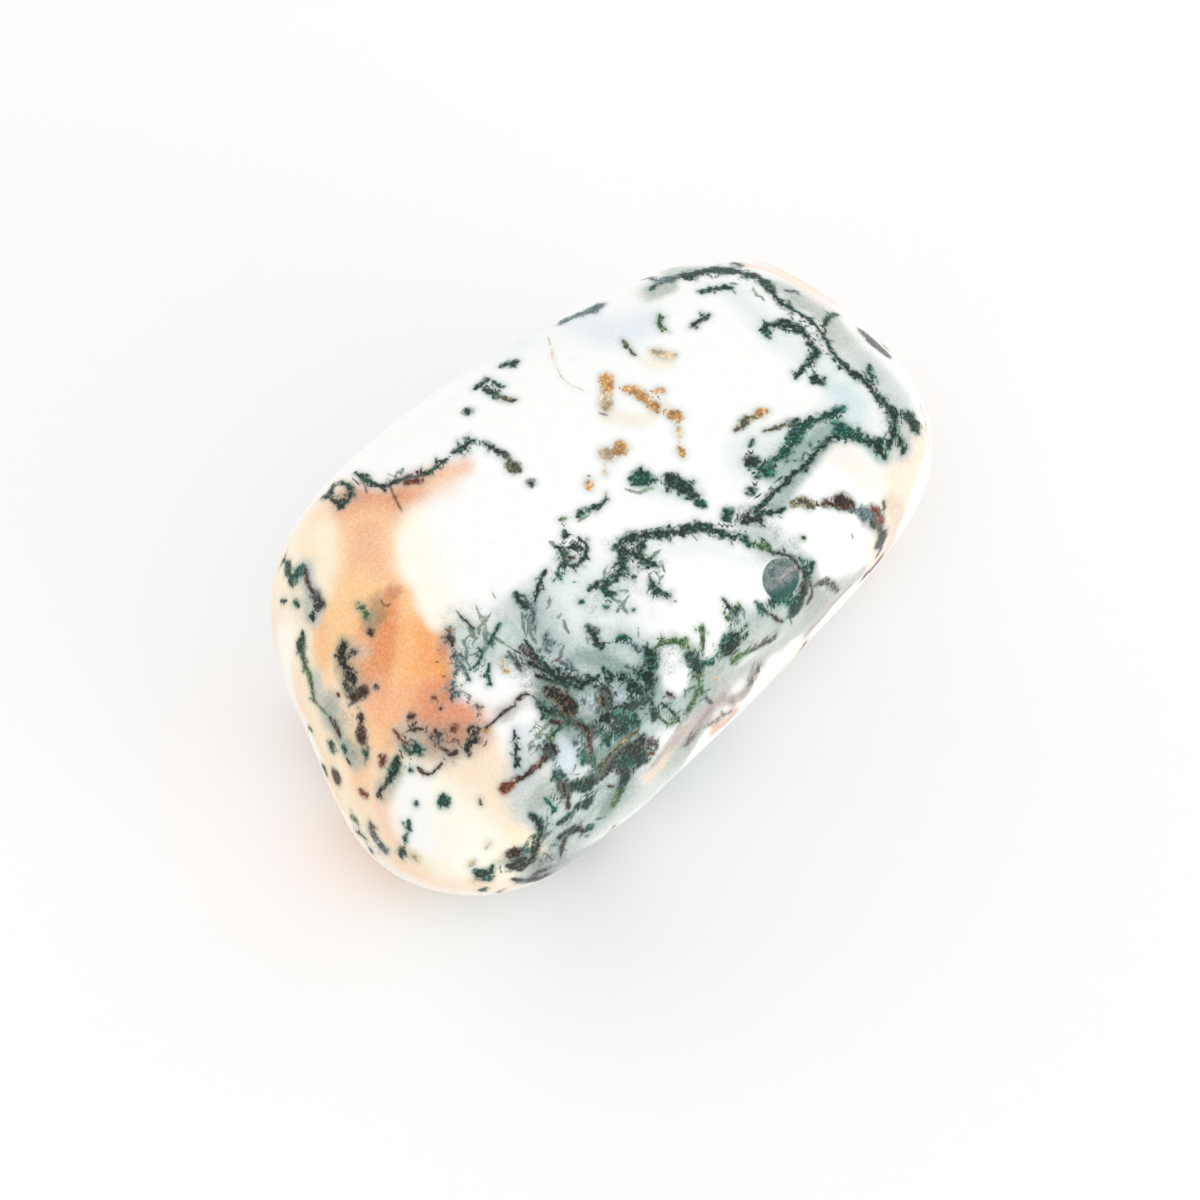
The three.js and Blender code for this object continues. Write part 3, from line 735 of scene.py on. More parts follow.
    (OLIVE, 3, (492, 612), (484, 623), (474, 632), (465, 640)),
    (OLIVE, 2.5, (484, 623), (487, 632), (486, 641)),
    (BROWN, 4, (461, 617), (468, 623), (474, 629)),
    (MOSS, 3, (457, 611), (463, 618)),
    (TEAL, 3, (462, 640), (468, 650), (465, 659), (471, 668)),
    (TEAL, 4, (479, 648), (482, 656), (477, 664), (471, 668)),
    (TEAL, 4, (489, 664), (488, 675), (491, 685)),
    (OCHRE, 5, (506, 671)),
    (TAN, 4, (500, 664), (504, 660)),
    (BROWN, 2, (492, 592), (495, 599)),
    (OLIVE, 2, (546, 731), (536, 738), (527, 745)),
    (OLIVE, 2, (552, 723), (543, 729), (534, 737)),
    (OLIVE, 2, (546, 741), (537, 750), (530, 756)),
    (MOSS, 4, (558, 708), (549, 712), (542, 719)),
    (TEAL, 4, (540, 702), (546, 712), (550, 720)),
    (DUSK, 6, (520, 648), (530, 656), (542, 664)),
    (MOSS, 7, (544, 668), (556, 672), (566, 670)),
    (BLACK, 5, (536, 676), (548, 680), (560, 684)),
    (SLATE, 6, (508, 652), (516, 662), (522, 672)),
    (TEAL, 4, (500, 624), (494, 634), (488, 644)),
    (OLIVE, 2.5, (476, 606), (480, 616), (484, 624)),
    (SLATE, 4, (456, 660), (464, 668), (470, 680)),
    # The brown trail and the dark border along the warm stain's right edge.
    (BROWN, 4, (484, 730), (490, 724), (498, 718), (506, 711), (515, 706)),
    (BROWN, 4, (517, 701), (523, 695), (531, 695), (536, 700)),
    (BLACK, 8, (451, 627), (450, 636), (452, 646)),
    (OCHRE, 4, (448, 631)),
    (SLATE, 6, (454, 652), (459, 662), (457, 674)),
    (SLATE, 7, (454, 683), (452, 690), (458, 695)),
    (RUST, 2.5, (439, 650)),
    (RUST, 2, (437, 662)),
    (RUST, 2.5, (444, 676)),
    (RUST, 5, (434, 698)),
    (BROWN, 4, (441, 708)),
    (BROWN, 3, (467, 693), (470, 697)),
    (DUSK, 5, (476, 704), (480, 707)),
    (BROWN, 2.5, (480, 715)),
    # The dark swirls below the warm stain.
    (BROWN, 9, (411, 717)),
    (RUST, 9, (454, 728)),
    (BLACK, 4, (468, 731), (472, 726), (478, 728), (477, 735), (470, 736)),
    (OCHRE, 6, (485, 731)),
    (BLACK, 6, (478, 741), (471, 742), (466, 748), (469, 754)),
    (BROWN, 5, (444, 749), (450, 754), (457, 752)),
    (RUST, 3, (487, 740), (483, 747)),
    (DUSK, 8, (436, 731), (438, 740)),
    (RUST, 4, (394, 730), (400, 738), (407, 745)),
    (BROWN, 4, (406, 733), (414, 729), (424, 730)),
    (TEAL, 14, (414, 747), (421, 752)),
    (MOSS, 7, (404, 744), (410, 754)),
    (TEAL, 6, (411, 770)),
    (BROWN, 4, (418, 767), (424, 773), (430, 774), (437, 769), (442, 764)),
    (RUST, 8, (384, 757), (381, 765)),
    (MOSS, 10, (398, 757), (394, 770), (388, 782)),
    (BLACK, 7, (388, 782), (382, 788), (379, 795)),
    (RUST, 8, (361, 792), (366, 795)),
    # The moss at the near end, along the left rim.
    (MOSS, 9, (286, 562), (289, 574), (292, 586)),
    (TEAL, 8, (292, 582), (299, 573), (301, 568)),
    (MOSS, 8, (281, 601), (286, 600)),
    (TEAL, 7, (294, 601), (299, 606)),
    (BROWN, 6, (305, 571), (308, 583), (313, 593)),
    (DUSK, 10, (313, 594), (320, 602), (319, 611)),
    (MOSS, 7, (317, 613), (312, 620)),
    (MOSS, 8, (303, 634), (301, 644), (302, 652)),
    (OLIVE, 5, (302, 654), (306, 668), (311, 684), (314, 700)),
    (OLIVE, 3.5, (314, 700), (322, 709), (330, 717)),
    (BROWN, 5, (331, 718), (336, 728), (340, 738)),
    (TEAL, 8, (344, 746), (345, 753)),
    (BROWN, 5, (347, 758), (351, 764)),
    (TEAL, 7, (330, 744), (333, 751)),
    (MOSS, 8, (323, 767), (326, 772)),
    (BROWN, 6, (335, 774), (337, 780)),
    (BLACK, 8, (344, 642), (342, 655), (346, 668), (354, 681)),
    (BLACK, 9, (347, 685), (352, 695), (356, 700)),
    (BROWN, 10, (354, 698), (360, 693), (366, 690)),
    (DUSK, 5, (374, 688), (378, 686)),
    (DUSK, 6, (352, 654), (356, 651)),
    (BROWN, 6, (361, 713), (361, 722)),
    (BROWN, 9, (361, 731), (363, 743)),
    (MOSS, 8, (363, 750), (367, 757)),
    (OLIVE, 6, (364, 611), (368, 620)),
    (OLIVE, 5, (357, 609), (364, 606)),
    (BROWN, 6, (369, 630), (372, 634)),
    (RUST, 3.4, (381, 600), (385, 606), (391, 604)),
    (RUST, 4, (338, 695)),
    # The marks along the bottom of the picture.
    (TEAL, 6, (416, 804)),
    (TEAL, 11, (441, 804), (446, 799)),
    (GILT, 6, (480, 800), (481, 804)),
    (MOSS, 6, (409, 822), (407, 831)),
    (TEAL, 7, (407, 834), (405, 840)),
    (MOSS, 7, (404, 846), (400, 856)),
    (OLIVE, 8, (351, 818), (358, 822)),
    (MOSS, 6, (356, 832), (366, 838)),
    (DUSK, 6, (371, 824), (374, 834), (378, 840)),
    (SLATE, 6, (378, 842), (386, 852)),
    (MOSS, 9, (478, 872), (486, 876)),
    (TEAL, 9, (488, 880), (493, 866)),
    (TAN, 4, (487, 848), (491, 843)),
    (TAN, 5, (413, 855), (416, 860)),
    (TAN, 6, (470, 866), (476, 860)),
    (MOSS, 4, (514, 730), (516, 748), (515, 768)),
    (BLACK, 16, (550, 748), (546, 758)),
    (BROWN, 7, (546, 757), (541, 764), (534, 767), (530, 773)),
    (RUST, 10, (513, 782), (506, 787), (504, 790)),
    (BROWN, 6, (529, 772), (522, 778), (517, 777)),
    (TEAL, 5, (544, 798), (549, 803), (556, 811)),
    (MOSS, 9, (531, 813), (538, 822), (541, 832), (538, 842)),
    (BLACK, 8, (538, 840), (535, 850), (534, 858)),
    (BROWN, 9, (508, 853), (518, 853)),
    (BLACK, 9, (511, 857), (525, 859)),
    (TEAL, 10, (523, 850), (527, 853)),
    (BLACK, 13, (509, 865), (524, 866)),
    (BLACK, 7, (527, 863), (534, 860)),
    (BLACK, 9, (514, 879), (528, 881), (542, 878), (554, 873)),
    (DUSK, 7, (534, 873), (548, 868)),
    (MOSS, 5, (498, 892), (503, 889)),
    (BLACK, 9, (560, 836), (568, 832), (578, 829), (586, 831)),
    (TEAL, 10, (588, 827), (592, 829)),
    (BROWN, 5, (566, 838), (562, 848), (560, 857)),
    (MOSS, 6, (573, 811), (566, 818), (557, 824)),
    (MOSS, 8, (576, 806), (584, 803), (591, 800)),
    (DUSK, 5, (570, 866), (584, 858), (594, 850)),
)


@dataclass(frozen=True)
class Thicket:
    """Fine hairs that grow close together along a course in the photo.

    Args:
        inks: what the hairs are made of, picked by chance.
        count: how many hairs there are.
        length: the shortest and the longest hair in pixels of the photo.
        lean: the way that most hairs point, in degrees up from the picture's right.
        spread: how far their ways differ from it, in degrees.
        reach: how far from the course they lie, in pixels.
        points: the course in pixels.
    """

    inks: tuple[Ink, ...]
    count: int
    length: tuple[float, float]
    lean: float
    spread: float
    reach: float
    points: tuple[Pixel, ...]


GREENS = (MOSS, TEAL, OLIVE)
DARKS = (MOSS, BLACK, TEAL, MOSS)
GREYS = (SLATE, MOSS, SLATE)
BROWNS = (BLACK, BROWN, DUSK)
THICKETS = drawn(
    Thicket,
    (GREENS, 15, (6, 16), 60, 80, 15, (472, 630), (484, 640), (482, 662)),
    (GREYS, 10, (5, 14), 80, 40, 18, (534, 604), (546, 636), (576, 650)),
    (DARKS, 46, (4, 11), 45, 90, 16, (560, 694), (584, 706), (604, 718), (640, 712), (650, 680), (622, 676)),
    ((OLIVE, MOSS), 14, (8, 20), 45, 15, 14, (552, 718), (534, 746)),
    (DARKS, 18, (3, 9), 40, 80, 12, (574, 782), (604, 766), (636, 748), (620, 790)),
    (GREENS, 30, (4, 11), 60, 90, 14, (622, 548), (606, 584), (640, 560), (664, 594)),
    (GREENS, 26, (4, 11), 50, 60, 14, (738, 612), (728, 648), (700, 660), (696, 704)),
    (BROWNS, 22, (3, 8), 0, 90, 14, (402, 744), (440, 738), (476, 740)),
    (DARKS, 22, (4, 12), 30, 70, 14, (520, 858), (552, 846), (586, 824)),
    (BROWNS, 22, (2, 6), 0, 90, 8, (448, 626), (451, 660), (456, 694), (480, 712)),
    (DARKS, 10, (4, 10), 45, 30, 10, (768, 488), (806, 446), (840, 424)),
    (DARKS, 22, (3, 8), 20, 80, 7, (640, 536), (690, 530), (760, 520), (784, 510)),
    (DARKS, 14, (3, 8), 20, 80, 6, (362, 480), (424, 474), (470, 442), (508, 458)),
    (DARKS, 18, (3, 9), -45, 60, 8, (700, 274), (776, 298), (842, 362), (894, 420)),
    (BROWNS, 12, (3, 8), 70, 60, 8, (344, 646), (352, 690), (360, 740)),
)

# Guessed colours of the hidden sides: the warm stain goes down the near end and fades underneath.
FAR_STAINS = drawn(
    FarStain,
    (CREAM, 2.0 * MM, 2.4 * MM, 0.9, (176, -8), (186, -34), (196, -62)),
    (ORANGE, 0.8 * MM, 1.8 * MM, 0.85, (168, 6), (178, -16), (188, -40)),
    (PEACH, 0.8 * MM, 2.0 * MM, 0.8, (150, 20), (146, -6), (160, -30)),
    (PEACH, 1.0 * MM, 2.2 * MM, 0.85, (8, 12), (2, -12), (-14, -28)),
    ((249, 230, 214), 1.2 * MM, 2.6 * MM, 0.8, (40, 4), (60, -10), (84, -4)),
    (HAZE, 1.6 * MM, 2.4 * MM, 0.85, (70, 20), (96, 8), (120, -6)),
    (GREEN_GREY, 0.7 * MM, 1.6 * MM, 0.75, (88, 2), (104, -12), (112, -34)),
    (HAZE, 1.4 * MM, 2.4 * MM, 0.85, (-30, -50), (0, -80), (120, -66)),
    (BLUE_WHITE, 1.2 * MM, 2.0 * MM, 0.8, (-110, -40), (-90, -60), (-40, -64)),
    (WARM_GREY, 0.5 * MM, 1.4 * MM, 0.6, (30, -30), (50, -44)),
)


@dataclass(frozen=True)
class RimVein:
    """A vein that goes on from the rim of the photo to a hidden side.

    Args:
        ink: what it is made of.
        width: its width in pixels of the photo.
        start: where it leaves the picture, in pixels.
        bend: how far its course turns from straight away from the camera, in degrees.
        length: how far it goes on, in metres.
    """

    ink: Ink
    width: float
    start: Pixel
    bend: float
    length: float


RIM_VEINS = (
    RimVein(MOSS, 8, (328, 497), 18, 6.0 * MM),
    RimVein(MOSS, 9, (285, 562), -20, 5.0 * MM),
    RimVein(SLATE, 8, (570, 318), 24, 6.0 * MM),
    RimVein(MOSS, 8, (648, 276), -30, 7.0 * MM),
    RimVein(MOSS, 9, (740, 266), 28, 5.0 * MM),
    RimVein(DUSK, 10, (884, 346), -14, 4.0 * MM),
    RimVein(MOSS, 9, (916, 428), 22, 5.0 * MM),
    RimVein(RUST, 5, (868, 572), -26, 5.0 * MM),
    RimVein(MOSS, 6, (800, 650), 16, 3.0 * MM),
    RimVein(OLIVE, 6, (614, 826), -12, 5.0 * MM),
    RimVein(BLACK, 8, (560, 870), 26, 6.0 * MM),
    RimVein(MOSS, 8, (486, 888), -18, 5.0 * MM),
    RimVein(MOSS, 7, (372, 850), 24, 6.0 * MM),
    RimVein(OLIVE, 5, (312, 730), -24, 5.0 * MM),
)


@dataclass(frozen=True)
class Growth:
    """A kind of mark that is scattered over the hidden sides.

    Args:
        inks: what its marks are made of, picked by chance.
        count: how many of them there are.
        width: the smallest and largest width in pixels of the photo.
        length: the smallest and largest length in metres.
        turning: how much its course turns from step to step, in radians.
    """

    inks: tuple[Ink, ...]
    count: int
    width: tuple[float, float]
    length: tuple[float, float]
    turning: float


HIDDEN_GROWTHS = (
    Growth((MOSS, TEAL, MOSS, BLACK), 20, (6, 10), (1.6 * MM, 4.2 * MM), 0.42),
    Growth((MOSS, TEAL, OLIVE), 34, (7, 13), (0.3 * MM, 0.9 * MM), 0.3),
    Growth((OLIVE, MOSS, TEAL), 46, (2, 3.5), (0.4 * MM, 1.3 * MM), 0.25),
    Growth((BROWN, RUST, GILT), 18, (4, 8), (0.3 * MM, 1.4 * MM), 0.5),
    Growth((OCHRE, TAN, FLECK), 14, (6, 12), (0.2 * MM, 0.9 * MM), 0.4),
)
# Where moss grows thickest on the hidden sides: azimuth and elevation in degrees, seen from the heart.
HIDDEN_TUFTS = (
    (76, 16),
    (90, 4),
    (100, -10),
    (110, -30),
    (56, -24),
    (-62, -56),
    (-18, -64),
    (150, -46),
    (128, 4),
)
TUFT_HAIRS = 26
TUFT_SPREAD = 0.75 * MM
TUFT_LENGTHS = (0.3 * MM, 1.1 * MM)
TUFT_TURNING = 0.3
RIM_TURNING = 0.2
HIDDEN_LIMIT = -0.02
WALK_STEP = 0.14 * MM
LEAST_STEPS = 3
TURN_KEPT = 0.7


@dataclass(frozen=True)
class PhotoView:
    """The photo's camera, with the axes of the picture and the ray through each of its pixels."""

    azimuth: float = CAMERA_AZIMUTH
    elevation: float = CAMERA_ELEVATION
    distance: float = CAMERA_DISTANCE

    @property
    def right(self) -> Vector:
        """The direction to the right in the picture."""
        return Vector((math.cos(self.azimuth), math.sin(self.azimuth), 0))

    @property
    def back(self) -> Vector:
        """The direction from the stone to the camera."""
        turn, flat = self.azimuth, math.cos(self.elevation)
        return Vector((math.sin(turn) * flat, -math.cos(turn) * flat, math.sin(self.elevation)))

    @property
    def up(self) -> Vector:
        """The upward direction in the picture."""
        return self.back.cross(self.right)

    @property
    def place(self) -> Vector:
        """Where the camera stands."""
        middle = PICTURE_SIZE / 2
        across = (HEART_PIXEL[0] - middle) / PIXELS_PER_METRE
        above = (middle - HEART_PIXEL[1]) / PIXELS_PER_METRE
        return HEART + self.back * self.distance - self.right * across - self.up * above

    @property
    def focal_pixels(self) -> float:
        """The focal length in pixels of the picture."""
        return PIXELS_PER_METRE * self.distance

    def ray(self, pixel: Pixel) -> Vector:
        """Gives the direction of the ray through a pixel.

        Args:
            pixel: across and down in the 1200-pixel picture.

        Returns:
            A unit vector from the camera.
        """
        across = (pixel[0] - PICTURE_SIZE / 2) / self.focal_pixels
        above = (PICTURE_SIZE / 2 - pixel[1]) / self.focal_pixels
        return (self.right * across + self.up * above - self.back).normalized()


@dataclass(frozen=True)
class Cloud:
    """A cloud of noise, cut between two levels.

    Args:
        size: the size of its grains, in metres.
        detail: how many times finer grains are laid over them.
        low: the level that counts as 0.
        high: the level that counts as 1.
    """

    size: float
    detail: float
    low: float
    high: float


@dataclass
class Graph:
    """A node tree in the making, with one short call for each kind of node that it needs."""

    tree: bpy.types.NodeTree

    @classmethod
    def group(cls, name: str, kind: str, inputs: dict[str, str], outputs: dict[str, str]) -> "Graph":
        """Starts a node group with named inputs and outputs.

        Args:
            name: the group's name.
            kind: Blender's name for its kind of tree.
            inputs: the kind of each input, by its name.
            outputs: the kind of each output, by its name.

        Returns:
            The group in the making.
        """
        tree = bpy.data.node_groups.new(name, kind)
        for way, sockets in (("INPUT", inputs), ("OUTPUT", outputs)):
            for label, sort in sockets.items():
                tree.interface.new_socket(label, in_out=way, socket_type=f"NodeSocket{sort}")
        return cls(tree)

    def node(self, kind: str, fed: dict | None = None, **settings: object) -> bpy.types.Node:
        """Adds a node.

        Args:
            kind: Blender's name for the kind of node.
            fed: other nodes' outputs or plain values for its inputs, by name or number.
            settings: its properties.

        Returns:
            The new node.
        """
        made = self.tree.nodes.new(kind)
        for name, value in settings.items():
            setattr(made, name, value)
        for key, value in (fed or {}).items():
            self.feed(made.inputs[key], value)
        return made

    def feed(self, socket: Socket, value: object) -> None:
        """Links a socket, or sets its value.

        Args:
            socket: the input.
            value: another node's output, or a plain value.
        """
        if isinstance(value, Socket):
            self.tree.links.new(value, socket)
        else:
            socket.default_value = value

    def calc(self, operation: str, *values: object) -> Socket:
        """Adds a sum of plain numbers.

        Args:
            operation: Blender's name for the sum.
            values: its terms.

        Returns:
            The result's socket.
        """
        made = self.node("ShaderNodeMath", operation=operation)
        for socket, value in zip(made.inputs, values):
            self.feed(socket, value)
        return made.outputs[0]

    def times(self, first: object, second: object) -> Socket:
        """Multiplies two numbers."""
        return self.calc("MULTIPLY", first, second)

    def plus(self, first: object, second: object) -> Socket:
        """Adds two numbers."""
        return self.calc("ADD", first, second)

    def minus(self, first: object, second: object) -> Socket:
        """Takes the second number from the first."""
        return self.calc("SUBTRACT", first, second)

    def vector(self, operation: str, *values: object) -> Socket:
        """Adds a sum of vectors.

        Args:
            operation: Blender's name for the sum.
            values: its terms. For SCALE the second one is the factor.

        Returns:
            The result's socket.
        """
        made = self.node("ShaderNodeVectorMath", operation=operation)
        sockets = (made.inputs[0], made.inputs["Scale"]) if operation == "SCALE" else made.inputs
        for socket, value in zip(sockets, values):
            self.feed(socket, value)
        return made.outputs["Value" if operation in ("DOT_PRODUCT", "LENGTH") else "Vector"]

    def ramp(self, value: object, start: object, end: object) -> Socket:
        """Adds a smooth rise from 0 at the start value to 1 at the end value."""
        terms = {"Value": value, "From Min": start, "From Max": end}
        return self.node("ShaderNodeMapRange", terms, interpolation_type="SMOOTHSTEP").outputs["Result"]

    def blend(self, share: object, first: object, second: object) -> Socket:
        """Adds a mix of two colours, with this share of the second one."""
        terms = {"Factor": share, 6: first, 7: second}
        return self.node("ShaderNodeMix", terms, data_type="RGBA").outputs[2]

    def between(self, share: object, low: float, high: float) -> Socket:
        """Adds a number that goes from low to high as the share goes from 0 to 1."""
        return self.plus(self.times(share, high - low), low)

    def grain(self, place: object, size: float, detail: float, swirl: float = 0.0) -> Socket:
        """Adds noise around a half, with grains of this size in metres, bent by the swirl."""
        terms = {"Vector": place, "Scale": 1 / size, "Detail": detail, "Distortion": swirl}
        return self.node("ShaderNodeTexNoise", terms).outputs["Fac"]

    def ripple(self, place: object, size: float, detail: float, swirl: float = 0.0) -> Socket:
        """Adds noise around 0, with grains of this size in metres, bent by the swirl."""
        return self.minus(self.grain(place, size, detail, swirl), 0.5)

    def cloud(self, place: object, cloud: Cloud) -> Socket:
        """Adds a cloud of noise, from 0 to 1 between its two levels."""
        return self.ramp(self.grain(place, cloud.size, cloud.detail), cloud.low, cloud.high)

    def attribute(self, name: str, output: str) -> Socket:
        """Adds a reader of one of the skin's attributes."""
        return self.node("ShaderNodeAttribute", attribute_name=name).outputs[output]


@dataclass
class SkinShape:
    """The stone's smooth skin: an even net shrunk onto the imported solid, with the pit cut afresh.

    Args:
        solid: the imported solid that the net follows.
        material: the stone's material.
        name: the new piece's name.
    """

    solid: bpy.types.Object
    material: bpy.types.Material
    name: str = "agate_skin"
    graph: Graph = field(init=False)
    given: bpy.types.NodeOutputs = field(init=False)

    def __post_init__(self) -> None:
        """Starts the skin's node tree with its named inputs."""
        inputs = {
            "Solid": "Object",
            "Heart": "Vector",
            "Half Sizes": "Vector",
            "Pit Floor": "Vector",
            "Pit Axis": "Vector",
            "Patch Rounds": "Int",
            "Smoothing Rounds": "Int",
        }
        self.graph = Graph.group("worn_skin", "GeometryNodeTree", inputs, {"Geometry": "Geometry"})
        self.given = self.graph.node("NodeGroupInput").outputs

    def build(self) -> bpy.types.Object:
        """Makes the skin as a plain mesh.

        Returns:
            The new object, at the origin.
        """
        tree = self.tree()
        values = {
            "Solid": self.solid,
            "Heart": HEART,
            "Half Sizes": HALF_SIZES,
            "Pit Floor": self.pit_floor(),
            "Pit Axis": PIT_AXIS,
            "Patch Rounds": PATCH_ROUNDS,
            "Smoothing Rounds": SMOOTHING_ROUNDS,
        }
        helper = bpy.data.objects.new("skin_helper", bpy.data.meshes.new("skin_helper"))
        bpy.context.scene.collection.objects.link(helper)
        modifier = helper.modifiers.new("worn_skin", "NODES")
        modifier.node_group = tree
        for item in tree.interface.items_tree:
            if item.in_out == "INPUT":
                modifier[item.identifier] = values[item.name]
        evaluated = helper.evaluated_get(bpy.context.evaluated_depsgraph_get())
        mesh = bpy.data.meshes.new_from_object(evaluated)
        mesh.name = self.name
        skin = bpy.data.objects.new(self.name, mesh)
        bpy.context.scene.collection.objects.link(skin)
        bpy.data.objects.remove(helper)
        log.info("%s: %d points", self.name, len(mesh.vertices))
        return skin

    def pit_floor(self) -> Vector:
        """Finds the middle of the pit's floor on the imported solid.

        Returns:
            The point.
        """
        above = HEART + PIT_FROM_HEART + PIT_AXIS * PIT_RAY_START
        hit, place, _, _ = self.solid.ray_cast(above, -PIT_AXIS)
        return place if hit else HEART + PIT_FROM_HEART

    def tree(self) -> bpy.types.NodeTree:
        """Builds the node tree of the skin.

        Returns:
            The tree.
        """
        carved = self.carved(self.smoothed(self.shrunk(self.net())))
        soft = self.graph.node("GeometryNodeSetShadeSmooth", {"Geometry": carved})
        dressed = {"Geometry": soft.outputs["Geometry"], "Material": self.material}
        painted = self.graph.node("GeometryNodeSetMaterial", dressed)
        real = self.graph.node("GeometryNodeRealizeInstances", {"Geometry": painted.outputs["Geometry"]})
        self.graph.node("NodeGroupOutput", {"Geometry": real.outputs["Geometry"]})
        return self.graph.tree

    def place(self) -> Socket:
        """Adds a reader of each point's place."""
        return self.graph.node("GeometryNodeInputPosition").outputs["Position"]

    def moved(self, geometry: Socket, **moves: object) -> Socket:
        """Adds a move of each point, to a Position or by an Offset."""
        return self.graph.node("GeometryNodeSetPosition", {"Geometry": geometry, **moves}).outputs["Geometry"]

    def net(self) -> Socket:
        """Adds the box of even cells that the skin starts from, two units wide."""
        counts = {f"Vertices {axis}": cells + 1 for axis, cells in zip("XYZ", NET_CELLS)}
        return self.graph.node("GeometryNodeMeshCube", {"Size": (2, 2, 2), **counts}).outputs["Mesh"]

    def shrunk(self, net: Socket) -> Socket:
        """Shrinks the net onto the solid, along rays to the heart.

        Args:
            net: the box of cells.

        Returns:
            The shrunk geometry.
        """
        graph = self.graph
        even = graph.vector("TANGENT", graph.vector("SCALE", self.place(), math.pi / 4))
        ball = graph.vector("NORMALIZE", even)
        way = graph.vector("NORMALIZE", graph.vector("MULTIPLY", ball, self.given["Half Sizes"]))
        reach = 3 * HALF_SIZES.x
        solid = {"Object": self.given["Solid"]}
        info = graph.node("GeometryNodeObjectInfo", solid, transform_space="RELATIVE")
        rays = {
            "Target Geometry": info.outputs["Geometry"],
            "Source Position": graph.vector("ADD", graph.vector("SCALE", way, reach), self.given["Heart"]),
            "Ray Direction": graph.vector("SCALE", way, -1.0),
            "Ray Length": 2 * reach,
        }
        cast = graph.node("GeometryNodeRaycast", rays)
        return self.moved(net, Position=cast.outputs["Hit Position"])

    def smoothed(self, skin: Socket) -> Socket:
        """Draws the skin flat over the pit, then smooths all of it.

        Args:
            skin: the shrunk geometry.

        Returns:
            The smooth geometry.
        """
        beside, near, _ = self.pit_distances()
        inside = self.graph.calc("LESS_THAN", beside, PIT_PATCH_RADIUS)
        patched = self.blurred(skin, self.given["Patch Rounds"], self.graph.times(near, inside))
        return self.blurred(patched, self.given["Smoothing Rounds"], 1.0)

    def blurred(self, geometry: Socket, rounds: Socket, weight: object) -> Socket:
        """Adds rounds in which each point moves towards the middle of its neighbours.

        Args:
            geometry: what is smoothed.
            rounds: how many rounds.
            weight: how far each point moves, 0 to 1.

        Returns:
            The smoothed geometry.
        """
        steps = {"Iterations": rounds, "Weight": weight}
        blur = self.graph.node("GeometryNodeBlurAttribute", steps, data_type="FLOAT_VECTOR")
        value = next(s for s in blur.inputs if s.name == "Value" and s.type == "VECTOR")
        self.graph.feed(value, self.place())
        return self.moved(geometry, Position=next(s for s in blur.outputs if s.type == "VECTOR"))

    def pit_distances(self) -> tuple[Socket, Socket, Socket]:
        """Measures each point against the pit.

        Returns:
            The distance from the pit's axis, whether the point is near, and its height above the floor.
        """
        graph, axis = self.graph, self.given["Pit Axis"]
        offset = graph.vector("SUBTRACT", self.place(), self.given["Pit Floor"])
        height = graph.vector("DOT_PRODUCT", offset, axis)
        beside = graph.vector("LENGTH", graph.vector("SUBTRACT", offset, graph.vector("SCALE", axis, height)))
        return beside, graph.calc("GREATER_THAN", height, PIT_NEAR), height

    def carved(self, skin: Socket) -> Socket:
        """Pushes the skin down to the pit's floor, with a sloping wall.

        Args:
            skin: the smooth geometry.

        Returns:
            The geometry with its pit.
        """
        graph = self.graph
        beside, near, height = self.pit_distances()
        wall = graph.ramp(beside, PIT_MOUTH_RADIUS, PIT_FLOOR_RADIUS)
        depth = graph.times(graph.times(wall, near), height)
        drop = graph.vector("SCALE", self.given["Pit Axis"], graph.times(depth, -1.0))
        return self.moved(skin, Offset=drop)


@dataclass
class Ground:
    """The skin as the marks need it: its points and a fast way to hit it."""

    skin: bpy.types.Object
    view: PhotoView
    points: np.ndarray = field(init=False)
    tree: BVHTree = field(init=False)

    def __post_init__(self) -> None:
        """Reads the skin's mesh."""
        mesh = self.skin.data
        flat = np.zeros(len(mesh.vertices) * 3, np.float32)
        mesh.vertices.foreach_get("co", flat)
        self.points = flat.reshape(-1, 3).astype(float)
        corners = np.zeros(len(mesh.loops), np.int32)
        mesh.loops.foreach_get("vertex_index", corners)
        quads = corners.reshape(-1, 4).tolist()
        self.tree = BVHTree.FromPolygons(self.points.tolist(), quads)

    def seen(self, pixel: Pixel) -> tuple[Vector, Vector]:
        """Finds the place on the skin that the photo shows at a pixel.

        Args:
            pixel: across and down in the picture.

        Returns:
            The point and the normal there. Past the outline they are those of the nearest rim.
        """
        way = self.view.ray(pixel)
        place, normal, _, _ = self.tree.ray_cast(self.view.place, way)
        if place is None:
            beside = self.view.place + way * self.view.distance
            place, normal, _, _ = self.tree.find_nearest(beside)
        return place, normal

    def met(self, azimuth: float, elevation: float) -> tuple[Vector, Vector]:
        """Finds the place on the skin in a direction from the heart.

        Args:
            azimuth: degrees.
            elevation: degrees.

        Returns:
            The point and the normal there.
        """
        way = facing(math.radians(azimuth), math.radians(elevation))
        place, normal, _, _ = self.tree.ray_cast(HEART, way)
        return place, normal

    def hidden(self, normal: Vector) -> bool:
        """Tells whether a place with this normal is out of the photo's sight."""
        return normal.dot(self.view.back) < HIDDEN_LIMIT


@dataclass
class Mark:
    """A stroke as it lies on the stone.

    Args:
        ink: what it is made of.
        layer: the layer that it is painted in.
        points: its course, one row for each point, in metres.
        normals: the skin's normals along it.
        halves: half its width at each point, in metres.
    """

    ink: Ink
    layer: Layer
    points: np.ndarray
    normals: np.ndarray
    halves: np.ndarray


